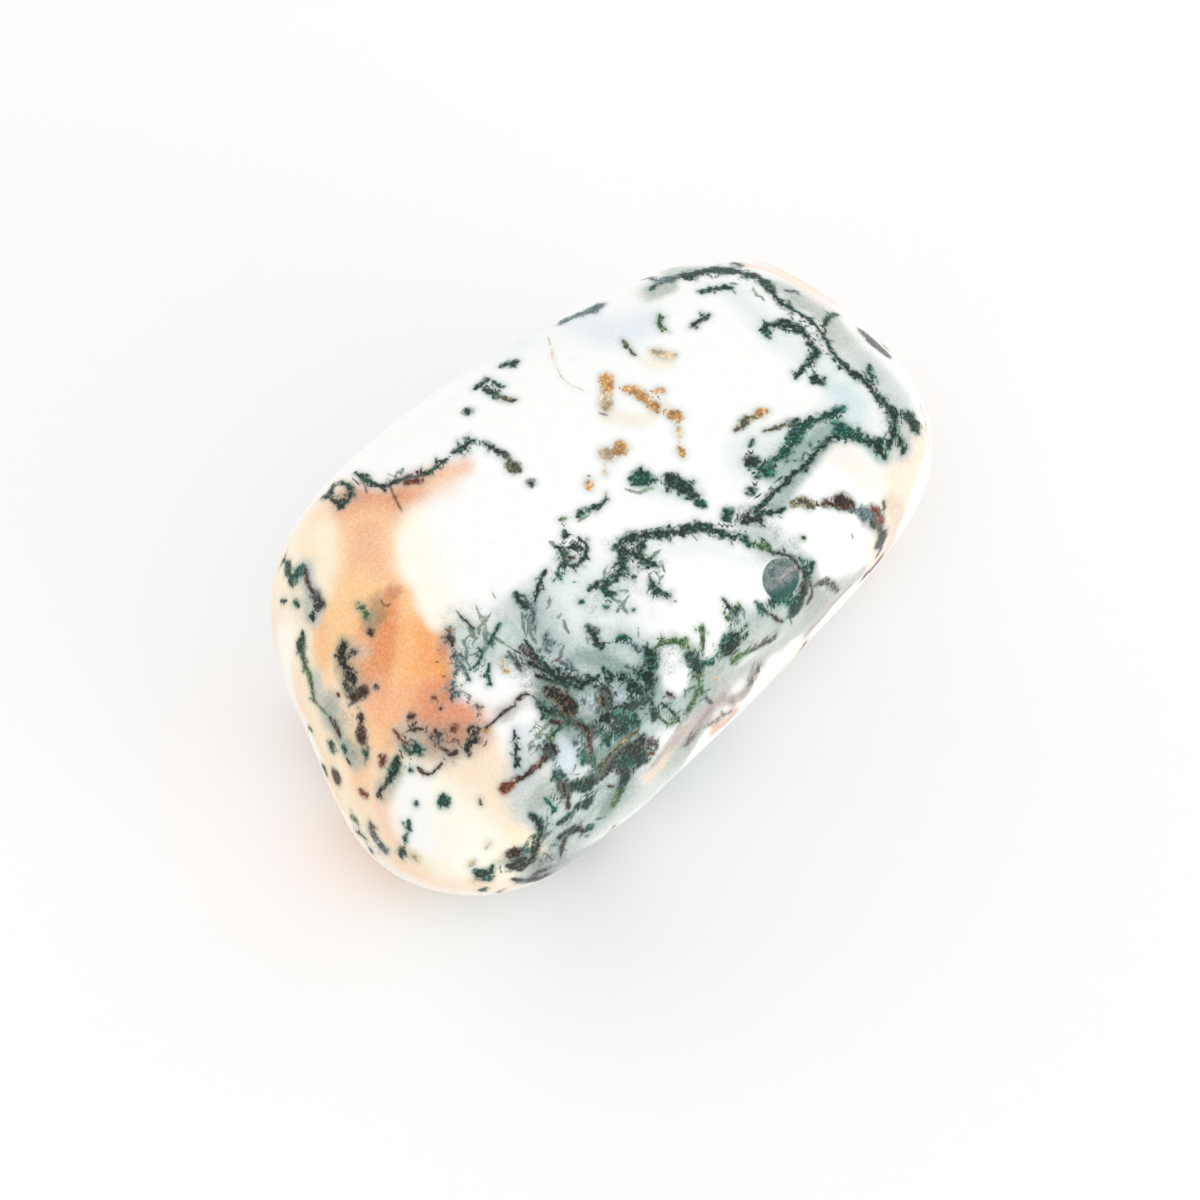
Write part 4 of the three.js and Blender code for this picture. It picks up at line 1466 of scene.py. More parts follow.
def smooth_course(points: Iterable[Pixel], step: float) -> np.ndarray:
    """Draws a smooth curve through points.

    Args:
        points: the points that it goes through.
        step: the distance between the curve's own points.

    Returns:
        The curve, one row for each point.
    """
    given = np.array(list(points), float)
    if len(given) == 1:
        return np.vstack([given - (DOT_REACH, 0), given + (DOT_REACH, 0)])
    padded = np.vstack([2 * given[0] - given[1], given, 2 * given[-1] - given[-2]])
    rows = []
    for i in range(len(given) - 1):
        a, b, c, d = padded[i : i + 4]
        count = max(2, round(np.linalg.norm(c - b) / step))
        for t in np.arange(count) / count:
            bent = (2 * a - 5 * b + 4 * c - d) * t**2 + (3 * b - a - 3 * c + d) * t**3
            rows.append(b + 0.5 * ((c - a) * t + bent))
    rows.append(given[-1])
    return np.array(rows)


def drift(count: int, rng: np.random.Generator) -> np.ndarray:
    """Makes a smooth random row of numbers around 0, mostly within 1 of it."""
    raw = rng.normal(size=count + 2)
    return (raw[:-2] + 2 * raw[1:-1] + raw[2:]) / 3


def tapered(length: int, ends: float) -> np.ndarray:
    """Makes the widths of a stroke that narrows at both ends, as shares of its full width."""
    t = np.linspace(0, 1, length)
    return ends + (1 - ends) * np.clip(np.minimum(t, 1 - t) / TAPER_LENGTH, 0, 1) ** TAPER_POWER


def turned(way: Vector, normal: Vector, turn: float) -> Vector:
    """Lays a direction flat on the skin and turns it there.

    Args:
        way: the direction.
        normal: the skin's normal.
        turn: the angle in radians.

    Returns:
        The new direction, a unit vector.
    """
    flat = (way - normal * way.dot(normal)).normalized()
    return flat * math.cos(turn) + normal.cross(flat) * math.sin(turn)


@dataclass
class MarkMaker:
    """Lays strokes on the skin and lets small twigs and grains grow beside them."""

    ground: Ground
    rng: np.random.Generator

    def lay(self, stroke: Stroke) -> Mark:
        """Projects a drawn stroke onto the skin.

        Args:
            stroke: the stroke in pixels of the photo.

        Returns:
            The mark on the stone.
        """
        course = smooth_course(stroke.points, PATH_STEP)
        if len(stroke.points) > 1:
            wander = PATH_WANDER * min(1, stroke.width / FULL_WANDER_WIDTH)
            course += wander * np.column_stack([drift(len(course), self.rng), drift(len(course), self.rng)])
        found = [self.ground.seen((x, y)) for x, y in course]
        points = np.array([place for place, _ in found])
        normals = np.array([normal for _, normal in found])
        halves = stroke.width / 2 / PIXELS_PER_METRE * np.ones(len(points))
        halves = halves / self.stretches(points, normals)
        if len(stroke.points) > 1:
            halves *= 1 + WIDTH_WANDER * drift(len(points), self.rng)
            halves *= tapered(len(points), STROKE_ENDS)
        return Mark(stroke.ink, stroke.layer, points, normals, np.maximum(halves, LEAST_HALF))

    def stretches(self, points: np.ndarray, normals: np.ndarray) -> np.ndarray:
        """Finds how much narrower a stroke looks in the photo than it is.

        Args:
            points: the stroke's course.
            normals: the skin's normals along it.

        Returns:
            The seen width as a share of the real width, at each point.
        """
        tangents = np.gradient(points, axis=0)
        across = np.cross(normals, tangents)
        across /= np.linalg.norm(across, axis=1, keepdims=True) + TINY
        towards = across @ np.array(self.ground.view.back)
        return np.maximum(np.sqrt(np.maximum(0, 1 - towards**2)), STEEPEST_STRETCH)

    def sprouts(self, mark: Mark) -> Iterator[Mark]:
        """Grows twigs and loose grains beside a mark.

        Args:
            mark: the stem.

        Yields:
            The small marks.
        """
        if mark.layer is not Layer.MOSS or len(mark.points) < SPROUTING_POINTS:
            return
        for i in range(1, len(mark.points) - 1):
            if self.rng.random() < TWIG_CHANCE:
                yield self.twig(mark, i)
            if self.rng.random() < GRAIN_CHANCE:
                yield self.loose_grain(mark, i)

    def frame_at(self, mark: Mark, i: int) -> tuple[np.ndarray, np.ndarray]:
        """Gives the directions along and across a mark at one of its points.

        Args:
            mark: the mark.
            i: the point's number.

        Returns:
            Two unit vectors in the skin's plane.
        """
        along = mark.points[i + 1] - mark.points[i - 1]
        along /= np.linalg.norm(along) + TINY
        across = np.cross(mark.normals[i], along)
        return along, across / (np.linalg.norm(across) + TINY)

    def twig(self, mark: Mark, i: int) -> Mark:
        """Grows one twig from a mark.

        Args:
            mark: the stem.
            i: the number of the point that it grows from.

        Returns:
            The twig.
        """
        along, across = self.frame_at(mark, i)
        turn = self.rng.uniform(*TWIG_TURNS) * self.rng.choice((-1, 1))
        way = along * math.cos(turn) + across * math.sin(turn)
        length = mark.halves[i] + self.rng.uniform(*TWIG_LENGTHS)
        points = mark.points[i] + np.linspace(0, length, TWIG_POINTS)[:, None] * way
        halves = np.linspace(1, TWIG_TIP, TWIG_POINTS) * self.rng.uniform(*TWIG_HALVES)
        return Mark(mark.ink, mark.layer, points, mark.normals[[i] * TWIG_POINTS], halves)

    def loose_grain(self, mark: Mark, i: int) -> Mark:
        """Drops one loose grain beside a mark.

        Args:
            mark: the mark.
            i: the number of the point that it lies beside.

        Returns:
            The grain.
        """
        along, across = self.frame_at(mark, i)
        side = self.rng.choice((-1, 1)) * (mark.halves[i] + self.rng.uniform(*GRAIN_GAPS))
        middle = mark.points[i] + across * side
        reach = self.rng.uniform(*GRAIN_REACHES)
        points = middle + np.array([[-1.0], [1.0]]) * along * reach
        halves = np.full(2, self.rng.uniform(*GRAIN_HALVES))
        return Mark(mark.ink, mark.layer, points, mark.normals[[i] * 2], halves)

    def hairs(self, thicket: Thicket) -> Iterator[Mark]:
        """Grows the hairs of a thicket.

        Args:
            thicket: where they grow and how.

        Yields:
            One mark for each hair.
        """
        course = smooth_course(thicket.points, PATH_STEP)
        for _ in range(thicket.count):
            root = course[self.rng.integers(len(course))]
            around = self.rng.uniform(0, math.tau)
            aside = thicket.reach * math.sqrt(self.rng.random())
            root = root + aside * np.array((math.cos(around), math.sin(around)))
            way = math.radians(thicket.lean + self.rng.uniform(-1, 1) * thicket.spread)
            bend = self.rng.uniform(-HAIR_BEND, HAIR_BEND)
            length = self.rng.uniform(*thicket.length)
            points = [tuple(root)]
            for _ in range(HAIR_STEPS):
                root = root + length / HAIR_STEPS * np.array((math.cos(way), -math.sin(way)))
                way += bend
                points.append(tuple(root))
            ink = thicket.inks[self.rng.integers(len(thicket.inks))]
            yield self.lay(Stroke(ink, self.rng.uniform(*HAIR_WIDTHS), tuple(points)))

    def shown(self) -> list[Mark]:
        """Makes all the marks of the side that the photo shows.

        Returns:
            The marks, with their twigs and grains.
        """
        marks = [mark for thicket in THICKETS for mark in self.hairs(thicket)]
        for stroke in SHOWN_STROKES:
            mark = self.lay(stroke)
            marks.append(mark)
            marks.extend(self.sprouts(mark))
        return marks


@dataclass
class HiddenMaker(MarkMaker):
    """Makes the guessed marks of the sides that the photo doesn't show."""

    def walk(
        self, start: Vector, way: Vector, length: float, turning: float
    ) -> tuple[np.ndarray, np.ndarray]:
        """Wanders over the skin, on the hidden sides only.

        Args:
            start: where it begins.
            way: its first direction.
            length: how far it goes, in metres.
            turning: how much it turns from step to step, in radians.

        Returns:
            The points and the normals along the way.
        """
        places, normals = [], []
        place, normal, _, _ = self.ground.tree.find_nearest(start)
        turn = 0.0
        for _ in range(max(LEAST_STEPS, round(length / WALK_STEP))):
            places.append(tuple(place))
            normals.append(tuple(normal))
            turn = TURN_KEPT * turn + self.rng.normal() * turning
            way = turned(way, normal, turn)
            place, normal, _, _ = self.ground.tree.find_nearest(place + way * WALK_STEP)
            if not self.ground.hidden(normal) and len(places) > LEAST_STEPS:
                break
        return np.array(places), np.array(normals)

    def mark(self, ink: Ink, width: float, course: tuple[np.ndarray, np.ndarray]) -> Mark:
        """Turns a walk into a mark.

        Args:
            ink: what it is made of.
            width: its width in pixels of the photo.
            course: its points and normals.

        Returns:
            The mark.
        """
        points, normals = course
        halves = width / 2 / PIXELS_PER_METRE * tapered(len(points), WALK_ENDS)
        halves *= 1 + WIDTH_WANDER * drift(len(points), self.rng)
        layer = Stroke(ink, width, ()).layer
        return Mark(ink, layer, points, normals, np.maximum(halves, LEAST_HALF))

    def rim_veins(self) -> Iterator[Mark]:
        """Carries the veins at the photo's rim on to the hidden sides.

        Yields:
            One mark for each vein.
        """
        for vein in RIM_VEINS:
            place, normal = self.ground.seen(vein.start)
            way = turned(-self.ground.view.back, normal, math.radians(vein.bend))
            yield self.mark(vein.ink, vein.width, self.walk(place, way, vein.length, RIM_TURNING))

    def growths(self) -> Iterator[Mark]:
        """Scatters the kinds of growth over the hidden sides.

        Yields:
            One mark at a time.
        """
        for kind in HIDDEN_GROWTHS:
            for _ in range(kind.count):
                place, normal = self.hidden_place()
                way = Vector(self.rng.normal(size=3))
                length = self.rng.uniform(*kind.length)
                ink = kind.inks[self.rng.integers(len(kind.inks))]
                width = self.rng.uniform(*kind.width)
                yield self.mark(ink, width, self.walk(place, way, length, kind.turning))

    def tufts(self) -> Iterator[Mark]:
        """Grows the thick tufts of the hidden sides.

        Yields:
            One mark for each hair.
        """
        for azimuth, elevation in HIDDEN_TUFTS:
            middle, _ = self.ground.met(azimuth, elevation)
            for _ in range(TUFT_HAIRS):
                start = middle + Vector(self.rng.normal(size=3)) * TUFT_SPREAD
                way = Vector(self.rng.normal(size=3))
                ink = DARKS[self.rng.integers(len(DARKS))]
                width = self.rng.uniform(*HAIR_WIDTHS) + 1
                length = self.rng.uniform(*TUFT_LENGTHS)
                yield self.mark(ink, width, self.walk(start, way, length, TUFT_TURNING))

    def hidden_place(self) -> tuple[Vector, Vector]:
        """Picks a place on a hidden side by chance.

        Returns:
            The point and the normal there.
        """
        while True:
            i = self.rng.integers(len(self.ground.points))
            place, normal, _, _ = self.ground.tree.find_nearest(Vector(self.ground.points[i]))
            if self.ground.hidden(normal):
                return place, normal

    def made(self) -> list[Mark]:
        """Makes all the marks of the hidden sides.

        Returns:
            The marks, with their twigs and grains.
        """
        marks = []
        for mark in (*self.rim_veins(), *self.growths(), *self.tufts()):
            marks.append(mark)
            marks.extend(self.sprouts(mark))
        return marks


def nearest_on(
    points: np.ndarray, course: np.ndarray, widths: np.ndarray
) -> tuple[np.ndarray, np.ndarray, np.ndarray]:
    """Finds the nearest spot of a course for each point.

    Args:
        points: the points, one row each.
        course: the course's own points.
        widths: half its width at each of them.

    Returns:
        The vectors from the course to the points, their lengths, and half the width there.
    """
    starts = course[:-1]
    spans = course[1:] - starts
    lengths = np.maximum((spans**2).sum(-1), LEAST_SPAN**2)
    offsets = points[:, None] - starts
    shares = np.clip((offsets * spans).sum(-1) / lengths, 0, 1)
    offsets = offsets - shares[..., None] * spans
    distances = np.linalg.norm(offsets, axis=-1)
    halves = widths[:-1] + shares * (widths[1:] - widths[:-1])
    best = np.argmin(distances - halves, axis=1)
    rows = np.arange(len(points))
    return offsets[rows, best], distances[rows, best], halves[rows, best]


@dataclass
class LinePaint:
    """One layer of marks as numbers at each point of the skin.

    An offset goes from the nearest mark's course to the point. A row of sizes holds half the mark's
    width there, the distance from its course and a 0. A margin is the distance from its edge.
    """

    layer: Layer
    points: np.ndarray
    offsets: np.ndarray = field(init=False)
    sizes: np.ndarray = field(init=False)
    dark: np.ndarray = field(init=False)
    light: np.ndarray = field(init=False)
    margins: np.ndarray = field(init=False)

    def __post_init__(self) -> None:
        """Starts with no mark near any point."""
        count = len(self.points)
        self.offsets = np.full((count, 3), FAR_AWAY)
        self.sizes = np.zeros((count, 3))
        self.sizes[:, 1] = FAR_AWAY
        self.dark = np.tile(linear(WHITE), (count, 1))
        self.light = np.tile(linear(WHITE), (count, 1))
        self.margins = np.full(count, np.inf)

    def add(self, mark: Mark) -> None:
        """Adds a mark where it is the nearest one.

        Args:
            mark: the mark.
        """
        reach = mark.halves.max() + LINE_REACH
        low = mark.points.min(0) - reach
        high = mark.points.max(0) + reach
        inside = np.nonzero(((self.points > low) & (self.points < high)).all(1))[0]
        if not len(inside):
            return
        offsets, distances, halves = nearest_on(self.points[inside], mark.points, mark.halves)
        margins = distances - halves
        wins = (margins < self.margins[inside]) & (margins < LINE_REACH)
        chosen = inside[wins]
        self.margins[chosen] = margins[wins]
        self.offsets[chosen] = offsets[wins]
        self.sizes[chosen, 0] = halves[wins]
        self.sizes[chosen, 1] = distances[wins]
        self.dark[chosen] = mark.ink.dark
        self.light[chosen] = mark.ink.light

    def store(self, mesh: bpy.types.Mesh) -> None:
        """Writes the layer to the mesh.

        Args:
            mesh: the skin's mesh.
        """
        rows = (self.offsets, self.sizes, self.dark, self.light)
        for (name, kind), values in zip(LAYER_DATA.items(), rows):
            write_attribute(mesh, f"{self.layer.value}_{name.lower()}", f"FLOAT_{kind.upper()}", values)


def write_attribute(mesh: bpy.types.Mesh, name: str, kind: str, values: np.ndarray) -> None:
    """Writes one attribute for each point of a mesh.

    Args:
        mesh: the mesh.
        name: the attribute's name.
        kind: Blender's name for its type.
        values: its values, one row for each point.
    """
    key = {"FLOAT": "value", "FLOAT_VECTOR": "vector", "FLOAT_COLOR": "color"}[kind]
    attribute = mesh.attributes.new(name, kind, "POINT")
    attribute.data.foreach_set(key, values.astype(np.float32).ravel())


@dataclass
class StainPaint:
    """The soft colours of the ground and the veil of fibres."""

    ground: Ground
    rng: np.random.Generator

    def wander(self, amount: float, size: float) -> np.ndarray:
        """Makes a smooth random shift for each point of the skin.

        Args:
            amount: how far points shift, in metres.
            size: how far apart different shifts are, in metres.

        Returns:
            The shifts, one row for each point.
        """
        shift = np.zeros_like(self.ground.points)
        for _ in range(WANDER_WAVES):
            wave = self.rng.normal(size=3) / size
            phase = self.rng.uniform(0, math.tau)
            tilt = self.rng.normal(size=3)
            shift += np.sin(self.ground.points @ wave + phase)[:, None] * tilt
        return shift * amount / math.sqrt(WANDER_WAVES)

    def share(self, points: np.ndarray, stain: Stain) -> np.ndarray:
        """Finds how strongly a stain covers each point.

        Args:
            points: the points, one row each.
            stain: the stain.

        Returns:
            The shares, from 0 up to the stain's strength.
        """
        course, radius, softness = stain.laid(self.ground)
        _, distances, _ = nearest_on(points, course, np.zeros(len(course)))
        fade = np.clip(1 - (distances - radius) / softness, 0, 1)
        return stain.strength * (fade * fade * (3 - 2 * fade))

    def colours(self) -> np.ndarray:
        """Mixes the stains, one over the other.

        Returns:
            The linear colour of each point.
        """
        bent = self.ground.points + sum(self.wander(*shift) for shift in GROUND_WANDERS)
        colour = np.tile(linear(WHITE), (len(bent), 1))
        for stain in (*FAR_STAINS, *SHOWN_STAINS):
            colour += self.share(bent, stain)[:, None] * (np.array(linear(stain.tone)) - colour)
        return colour

    def veil(self) -> np.ndarray:
        """Finds how dense the fibres are at each point, 0 to 1."""
        bent = self.ground.points + self.wander(*VEIL_WANDER)
        return np.max([self.share(bent, stain) for stain in VEILS], axis=0)

    def store(self, mesh: bpy.types.Mesh) -> None:
        """Writes the ground's colour and the veil to the mesh."""
        write_attribute(mesh, "ground_colour", "FLOAT_COLOR", self.colours())
        write_attribute(mesh, "veil", "FLOAT", self.veil())


@dataclass(frozen=True)
class MarkFinish:
    """How the marks are frayed and grained, and the halo round them."""

    fray: float = 3.4
    fray_size: float = 0.2 * MM
    fades: Span = (0.03 * MM, 0.13 * MM)
    fade_share: float = 0.8
    holes: Cloud = Cloud(0.24 * MM, 3.0, 0.58, 0.74)
    guard_fade: float = 0.05 * MM
    edge: Span = (-0.5, 0.8)
    core: Span = (0.0, 1.2)
    core_darkness: float = 0.06
    grain_size: float = 0.12 * MM
    grain_levels: Span = (0.43, 0.62)
    tide: Cloud = Cloud(0.4 * MM, 2.0, 0.34, 0.66)
    shades: Span = (0.62, 1.32)
    halo_fray: float = 0.1 * MM
    halo_tone: Tone = (146, 170, 164)
    near_halo: Span = (0.13 * MM, -0.02 * MM)
    near_strength: float = 0.32
    near_darkness: float = 0.4
    wide_halo: Span = (0.33 * MM, 0.0)
    wide_strength: float = 0.26


@dataclass(frozen=True)
class VeilFinish:
    """The fine fibres and the faint clouds in the ground."""

    clumps: Cloud = Cloud(0.45 * MM, 4.0, 0.4, 0.62)
    clump_densities: Span = (0.35, 1.0)
    thread_sizes: Span = (0.22 * MM, 0.11 * MM)
    thread_swirl: float = 1.4
    thread_edge: Span = (0.035, 0.004)
    specks: Cloud = Cloud(0.06 * MM, 2.0, 0.54, 0.7)
    speck_densities: Span = (0.35, 0.8)
    strength: float = 0.85
    tints: Cloud = Cloud(0.34 * MM, 2.0, 0.4, 0.6)
    tones: tuple[Tone, Tone] = ((24, 66, 56), (66, 76, 70))
    mottle: Cloud = Cloud(0.12 * MM, 4.0, 0.3, 0.7)
    mottle_powers: Span = (0.84, 1.18)
    clouds: Cloud = Cloud(0.5 * MM, 4.0, 0.48, 0.72)
    cloud_tone: Tone = (204, 214, 214)
    cloud_strength: float = 0.08
    murk: Cloud = Cloud(0.16 * MM, 4.0, 0.3, 0.7)
    murk_tone: Tone = (116, 142, 134)
    murk_strength: float = 0.45


@dataclass(frozen=True)
class BowlFinish:
    """The pit's rough grey bowl, with a pale streak across it and a dark teal lower side that is partly the
    pit's own teal and partly painted shadow in the pit.
    """

    grain_size: float = 0.05 * MM
    ragged: float = 0.1 * MM
    edge: Span = (0.83 * MM, 0.76 * MM)
    lowest: float = -2 * MM
    clouds: Cloud = Cloud(0.3 * MM, 3.0, 0.36, 0.64)
    tones: tuple[Tone, Tone] = ((84, 108, 108), (128, 138, 134))
    streak_slope: float = 0.8
    streak_start: Span = (-0.5 * MM, 0.2 * MM)
    streak_edge: Span = (0.24 * MM, 0.02 * MM)
    streak_strength: float = 0.7
    streak_tone: Tone = (178, 168, 166)
    # The dark teal lower side: partly the pit's own teal, partly painted shadow in the pit.
    shade_slope: float = 0.45
    shade_ragged: float = 0.5 * MM
    shade_edge: Span = (0.16 * MM, 0.56 * MM)
    shade_strength: float = 0.85
    shade_tone: Tone = (22, 84, 78)
    stipple: Span = (-0.16, 0.16)
    shades: Span = (0.62, 1.32)


@dataclass(frozen=True)
class StoneFinish:
    """How the polished stone shines, with the finish of each thing in it."""

    roughness: float = 0.2
    moss_roughness: float = 0.34
    pit_roughness: float = 0.6
    scatter: float = 0.12
    scatter_radius: Triple = (0.35, 0.3, 0.25)
    scatter_scale: float = 0.6 * MM
    specular: float = 0.25
    wave_strength: float = 0.12
    wave_height: float = 0.02 * MM
    wave_size: float = 0.7 * MM
    marks: MarkFinish = MarkFinish()
    veil: VeilFinish = VeilFinish()
    bowl: BowlFinish = BowlFinish()


@dataclass
class AgateMaterial:
    """The stone's one material, made of the ground, the veil and the layers of marks."""

    finish: StoneFinish

    def line_group(self) -> bpy.types.NodeTree:
        """Builds the group that paints one layer of marks over a colour.

        Returns:
            The group.
        """
        inputs = {"Ground": "Color", "Place": "Vector", **LAYER_DATA, "Halo": "Float", "Strength": "Float"}
        outputs = {"Colour": "Color", "Mask": "Float"}
        graph = Graph.group("mineral_line", "ShaderNodeTree", inputs, outputs)
        given = graph.node("NodeGroupInput").outputs
        look = self.finish.marks
        place = given["Place"]
        half, guard, _ = graph.node("ShaderNodeSeparateXYZ", {0: given["Size"]}).outputs
        distance = graph.vector("LENGTH", given["Offset"])
        fray = graph.ripple(place, look.fray_size, FINE_DETAIL)
        least, most = look.fades
        fade = graph.calc("MAXIMUM", graph.times(half, look.fade_share), least)
        depth = graph.calc("DIVIDE", graph.minus(half, distance), graph.calc("MINIMUM", fade, most))
        frayed = graph.plus(depth, graph.times(fray, look.fray))
        density = graph.minus(frayed, graph.cloud(place, look.holes))
        limit = graph.plus(half, GUARD_MARGIN)
        real = graph.ramp(graph.minus(guard, limit), look.guard_fade, 0.0)
        body = graph.times(graph.ramp(density, *look.edge), real)
        cover = graph.times(body, given["Strength"])
        core = graph.times(graph.ramp(density, *look.core), look.core_darkness)
        lit = graph.minus(graph.grain(place, look.grain_size, FINE_DETAIL), core)
        grained = graph.blend(graph.ramp(lit, *look.grain_levels), given["Dark"], given["Light"])
        shade = graph.between(graph.cloud(place, look.tide), *look.shades)
        ink = graph.vector("SCALE", grained, shade)
        margin = graph.minus(graph.minus(guard, half), graph.times(fray, look.halo_fray))
        near = graph.times(graph.ramp(margin, *look.near_halo), look.near_strength)
        wide = graph.times(graph.ramp(margin, *look.wide_halo), look.wide_strength)
        pale = graph.blend(graph.times(wide, given["Halo"]), given["Ground"], linear(look.halo_tone))
        edge = graph.blend(look.near_darkness, given["Light"], given["Dark"])
        hazy = graph.blend(graph.times(near, given["Halo"]), pale, edge)
        graph.node("NodeGroupOutput", {"Colour": graph.blend(cover, hazy, ink), "Mask": cover})
        return graph.tree

    def veil_group(self) -> bpy.types.NodeTree:
        """Builds the group that fills the ground with fine fibres and faint clouds.

        Returns:
            The group.
        """
        inputs = {"Ground": "Color", "Place": "Vector", "Veil": "Float"}
        graph = Graph.group("fibre_veil", "ShaderNodeTree", inputs, {"Colour": "Color"})
        given = graph.node("NodeGroupInput").outputs
        look = self.finish.veil
        place = given["Place"]
        clump = graph.between(graph.cloud(place, look.clumps), *look.clump_densities)
        density = graph.times(given["Veil"], clump)
        coarse, fine = (self.threads(graph, place, size) for size in look.thread_sizes)
        specks = graph.times(graph.cloud(place, look.specks), graph.ramp(density, *look.speck_densities))
        fibres = graph.calc("MAXIMUM", graph.calc("MAXIMUM", coarse, fine), specks)
        share = graph.times(fibres, graph.times(density, look.strength))
        ink = graph.blend(graph.cloud(place, look.tints), *(linear(tone) for tone in look.tones))
        power = graph.between(graph.cloud(place, look.mottle), *look.mottle_powers)
        warmth = graph.node("ShaderNodeGamma", {"Color": given["Ground"], "Gamma": power})
        cloud = graph.times(graph.cloud(place, look.clouds), look.cloud_strength)
        clouded = graph.blend(cloud, warmth.outputs["Color"], linear(look.cloud_tone))
        murk = graph.times(graph.times(graph.cloud(place, look.murk), density), look.murk_strength)
        murky = graph.blend(murk, clouded, linear(look.murk_tone))
        graph.node("NodeGroupOutput", {"Colour": graph.blend(share, murky, ink)})
        return graph.tree

    def threads(self, graph: Graph, place: Socket, size: float) -> Socket:
        """Adds the mask of a tangle of thin threads.

        Args:
            graph: the group in the making.
            place: the position socket.
            size: the room between the threads, in metres.

        Returns:
            The mask.
        """
        look = self.finish.veil
        waves = graph.ripple(place, size, PLAIN_DETAIL, look.thread_swirl)
        return graph.ramp(graph.calc("ABSOLUTE", waves), *look.thread_edge)

    def build(self) -> bpy.types.Material:
        """Makes the material.

        Returns:
            The material.
        """
        material = bpy.data.materials.new("tree_agate")
        material.use_nodes = True
        graph = Graph(material.node_tree)
        finish = self.finish
        shader = material.node_tree.nodes["Principled BSDF"]
        place = graph.node("ShaderNodeTexCoord").outputs["Object"]
        colour, cover = self.marked(graph, place)
        pit, bowl = self.bowl(graph, place)
        graph.feed(shader.inputs["Base Color"], graph.blend(pit, colour, bowl))
        marked = graph.times(cover, finish.moss_roughness - finish.roughness)
        pitted = graph.times(pit, finish.pit_roughness - finish.roughness)
        rough = graph.plus(graph.plus(marked, pitted), finish.roughness)
        graph.feed(shader.inputs["Roughness"], rough)
        fixed = {
            "Specular IOR Level": finish.specular,
            "Subsurface Weight": finish.scatter,
            "Subsurface Radius": finish.scatter_radius,
            "Subsurface Scale": finish.scatter_scale,
        }
        for name, value in fixed.items():
            shader.inputs[name].default_value = value
        waves = {
            "Strength": finish.wave_strength,
            "Distance": finish.wave_height,
            "Height": graph.grain(place, finish.wave_size, PLAIN_DETAIL),
        }
        bump = graph.node("ShaderNodeBump", waves)
        graph.feed(shader.inputs["Normal"], bump.outputs["Normal"])
        return material

    def marked(self, graph: Graph, place: Socket) -> tuple[Socket, Socket]:
        """Paints the veil and the layers of marks over the ground's colour.

        Args:
            graph: the tree in the making.
            place: the position socket.

        Returns:
            The colour, and how much of it is marks.
        """
        fed = {
            "Ground": graph.attribute("ground_colour", "Color"),
            "Place": place,
            "Veil": graph.attribute("veil", "Fac"),
        }
        colour = graph.node("ShaderNodeGroup", fed, node_tree=self.veil_group()).outputs["Colour"]
        tree = self.line_group()
        cover: object = 0.0
        for layer in Layer:
            faint = layer is Layer.THREAD
            fed = {
                "Ground": colour,
                "Place": place,
                "Halo": THREAD_HALO if faint else 1.0,
                "Strength": THREAD_STRENGTH if faint else MARK_STRENGTH,
            }
            for name, kind in LAYER_DATA.items():
                fed[name] = graph.attribute(f"{layer.value}_{name.lower()}", kind)
            paint = graph.node("ShaderNodeGroup", fed, node_tree=tree)
            painted = paint.outputs["Colour"]
            colour = graph.vector("MINIMUM", colour, painted) if faint else painted
            cover = graph.calc("MAXIMUM", cover, paint.outputs["Mask"])
        return colour, cover

    def bowl(self, graph: Graph, place: Socket) -> tuple[Socket, Socket]:
        """Adds the colours of the pit's bowl, with its lower side darkened partly as painted shadow.

        Args:
            graph: the tree in the making.
            place: the position socket.

        Returns:
            The bowl's mask and its colour.
        """
        look, view = self.finish.bowl, PhotoView()
        offset = graph.vector("SUBTRACT", place, tuple(HEART + PIT_FROM_HEART))
        height = graph.vector("DOT_PRODUCT", offset, tuple(BOWL_AXIS))
        along = graph.vector("SCALE", tuple(BOWL_AXIS), height)
        flat = graph.vector("SUBTRACT", offset, along)
        grain = graph.ripple(place, look.grain_size, PLAIN_DETAIL)
        beside = graph.plus(graph.vector("LENGTH", flat), graph.times(grain, look.ragged))
        near = graph.calc("GREATER_THAN", height, look.lowest)
        mask = graph.times(graph.ramp(beside, *look.edge), near)
        grey = graph.blend(graph.cloud(place, look.clouds), *(linear(tone) for tone in look.tones))
        right = graph.vector("DOT_PRODUCT", flat, tuple(view.right))
        up = graph.vector("DOT_PRODUCT", flat, tuple(view.up))
        slant = graph.calc("ABSOLUTE", graph.minus(up, graph.times(right, look.streak_slope)))
        reach = graph.ramp(graph.plus(right, up), *look.streak_start)
        streak = graph.times(graph.ramp(slant, *look.streak_edge), reach)
        streak = graph.times(streak, look.streak_strength)
        streaked = graph.blend(streak, grey, linear(look.streak_tone))
        # The lower side of the bowl: partly teal, partly painted shadow in the pit.
        low = graph.minus(graph.times(right, look.shade_slope), up)
        low = graph.plus(low, graph.times(grain, look.shade_ragged))
        shade = graph.times(graph.ramp(low, *look.shade_edge), look.shade_strength)
        shaded = graph.blend(shade, streaked, linear(look.shade_tone))
        stippled = graph.between(graph.ramp(grain, *look.stipple), *look.shades)
        return mask, graph.vector("SCALE", shaded, stippled)


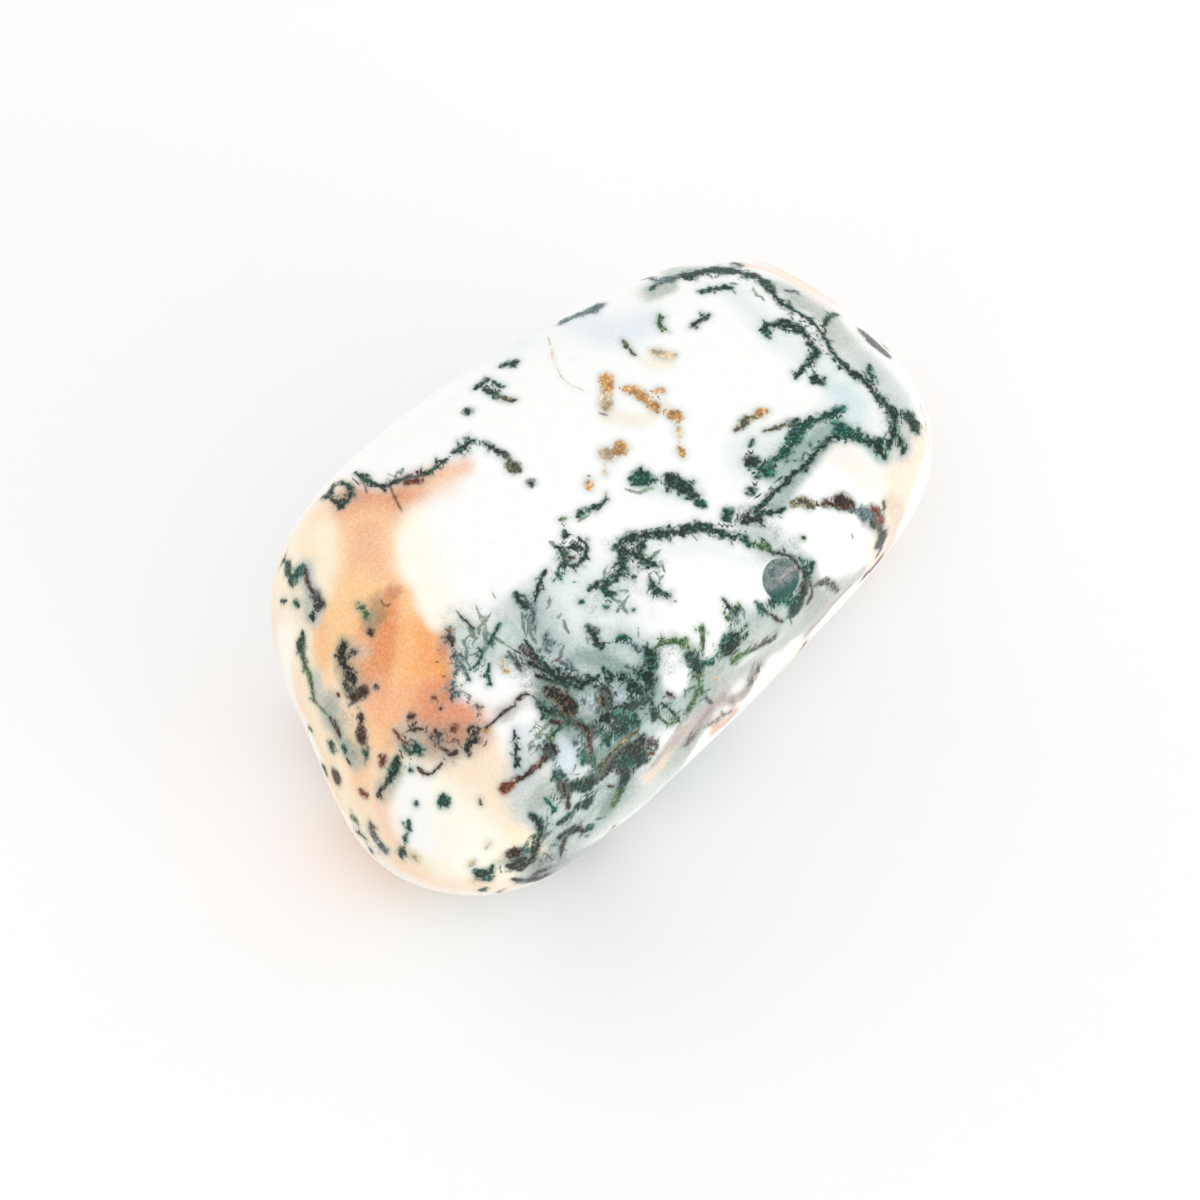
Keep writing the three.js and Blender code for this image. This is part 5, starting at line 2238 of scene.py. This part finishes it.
@dataclass(frozen=True)
class Studio:
    """The pale floor, the soft light and the camera."""

    floor_radius: float = 1.5
    floor_corners: int = 64
    floor_tone: Tone = (250, 250, 250)
    floor_roughness: float = 0.9
    sky_strength: float = 0.94
    key_energy: float = 0.66
    key_size: float = 0.8
    key_place: Triple = (-0.08, 0.45, 0.6)
    fill_energy: float = 2.9
    fill_size: float = 0.5
    fill_place: Triple = (0.12, -0.75, 0.03)
    nearest_seen: float = 0.01

    def floor(self) -> bpy.types.Object:
        """Makes the floor.

        Returns:
            The floor's object.
        """
        corners = self.floor_corners
        ring = [facing(math.tau * i / corners, 0) * self.floor_radius for i in range(corners)]
        mesh = bpy.data.meshes.new("floor")
        mesh.from_pydata([tuple(p) for p in ring], [], [tuple(range(corners))])
        material = bpy.data.materials.new("floor")
        material.use_nodes = True
        shader = material.node_tree.nodes["Principled BSDF"]
        shader.inputs["Base Color"].default_value = linear(self.floor_tone)
        shader.inputs["Roughness"].default_value = self.floor_roughness
        mesh.materials.append(material)
        floor = bpy.data.objects.new("floor", mesh)
        bpy.context.scene.collection.objects.link(floor)
        return floor

    def light(self) -> None:
        """Sets the white surroundings, the soft key light and the low fill light."""
        world = bpy.data.worlds.new("studio")
        world.use_nodes = True
        background = world.node_tree.nodes["Background"]
        background.inputs["Color"].default_value = (1, 1, 1, 1)
        background.inputs["Strength"].default_value = self.sky_strength
        bpy.context.scene.world = world
        self.lamp("key", self.key_energy, self.key_size, self.key_place)
        self.lamp("fill", self.fill_energy, self.fill_size, self.fill_place)

    def lamp(self, name: str, energy: float, size: float, place: Triple) -> None:
        """Hangs a soft lamp that faces the stone.

        Args:
            name: its name.
            energy: its power in watts.
            size: the width of its screen, in metres.
            place: where it hangs.
        """
        screen = bpy.data.lights.new(name, "AREA")
        screen.energy = energy
        screen.size = size
        lamp = bpy.data.objects.new(name, screen)
        lamp.location = place
        lamp.rotation_euler = (HEART - lamp.location).to_track_quat("-Z", "Y").to_euler()
        bpy.context.scene.collection.objects.link(lamp)

    def camera(self, view: PhotoView) -> None:
        """Sets the camera at the photo's angle.

        Args:
            view: the photo's camera.
        """
        lens = bpy.data.cameras.new("photo")
        lens.sensor_width = SENSOR_WIDTH
        lens.lens = view.focal_pixels / PICTURE_SIZE * SENSOR_WIDTH
        lens.clip_start = self.nearest_seen
        camera = bpy.data.objects.new("photo", lens)
        camera.location = view.place
        camera.rotation_euler = (-view.back).to_track_quat("-Z", "Y").to_euler()
        bpy.context.scene.collection.objects.link(camera)
        bpy.context.scene.camera = camera

    def build(self, view: PhotoView) -> None:
        """Makes the floor, the light and the camera.

        Args:
            view: the photo's camera.
        """
        self.floor()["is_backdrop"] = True
        self.light()
        self.camera(view)
        bpy.context.scene.view_settings.view_transform = "Standard"
        log.info("studio ready")


@dataclass
class TreeAgate:
    """The whole stone: its skin, its ground colours and its marks."""

    view: PhotoView

    def build(self) -> bpy.types.Object:
        """Makes the stone.

        Returns:
            The finished skin.
        """
        material = AgateMaterial(StoneFinish()).build()
        skin = SkinShape(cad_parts["stone"], material).build()
        ground = Ground(skin, self.view)
        StainPaint(ground, np.random.default_rng(SEED)).store(skin.data)
        log.info("ground painted")
        shown = MarkMaker(ground, np.random.default_rng(SEED + 1)).shown()
        hidden = HiddenMaker(ground, np.random.default_rng(SEED + 2)).made()
        log.info("%d marks shown, %d hidden", len(shown), len(hidden))
        for layer in Layer:
            paint = LinePaint(layer, ground.points)
            for mark in (*shown, *hidden):
                if mark.layer is layer:
                    paint.add(mark)
            paint.store(skin.data)
            log.info("layer %s painted", layer.value)
        return skin


def main() -> None:
    """Builds the stone and its studio and puts the skin under the root body."""
    logging.basicConfig(level=logging.INFO)
    view = PhotoView()
    skin = TreeAgate(view).build()
    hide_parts("stone")
    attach(skin, "root")
    Studio().build(view)
    pairs = {"cad": cad_bounds, "scene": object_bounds()}
    sizes = {name: [list(corner) for corner in bounds] for name, bounds in pairs.items()}


if __name__ == "__main__":
    main()
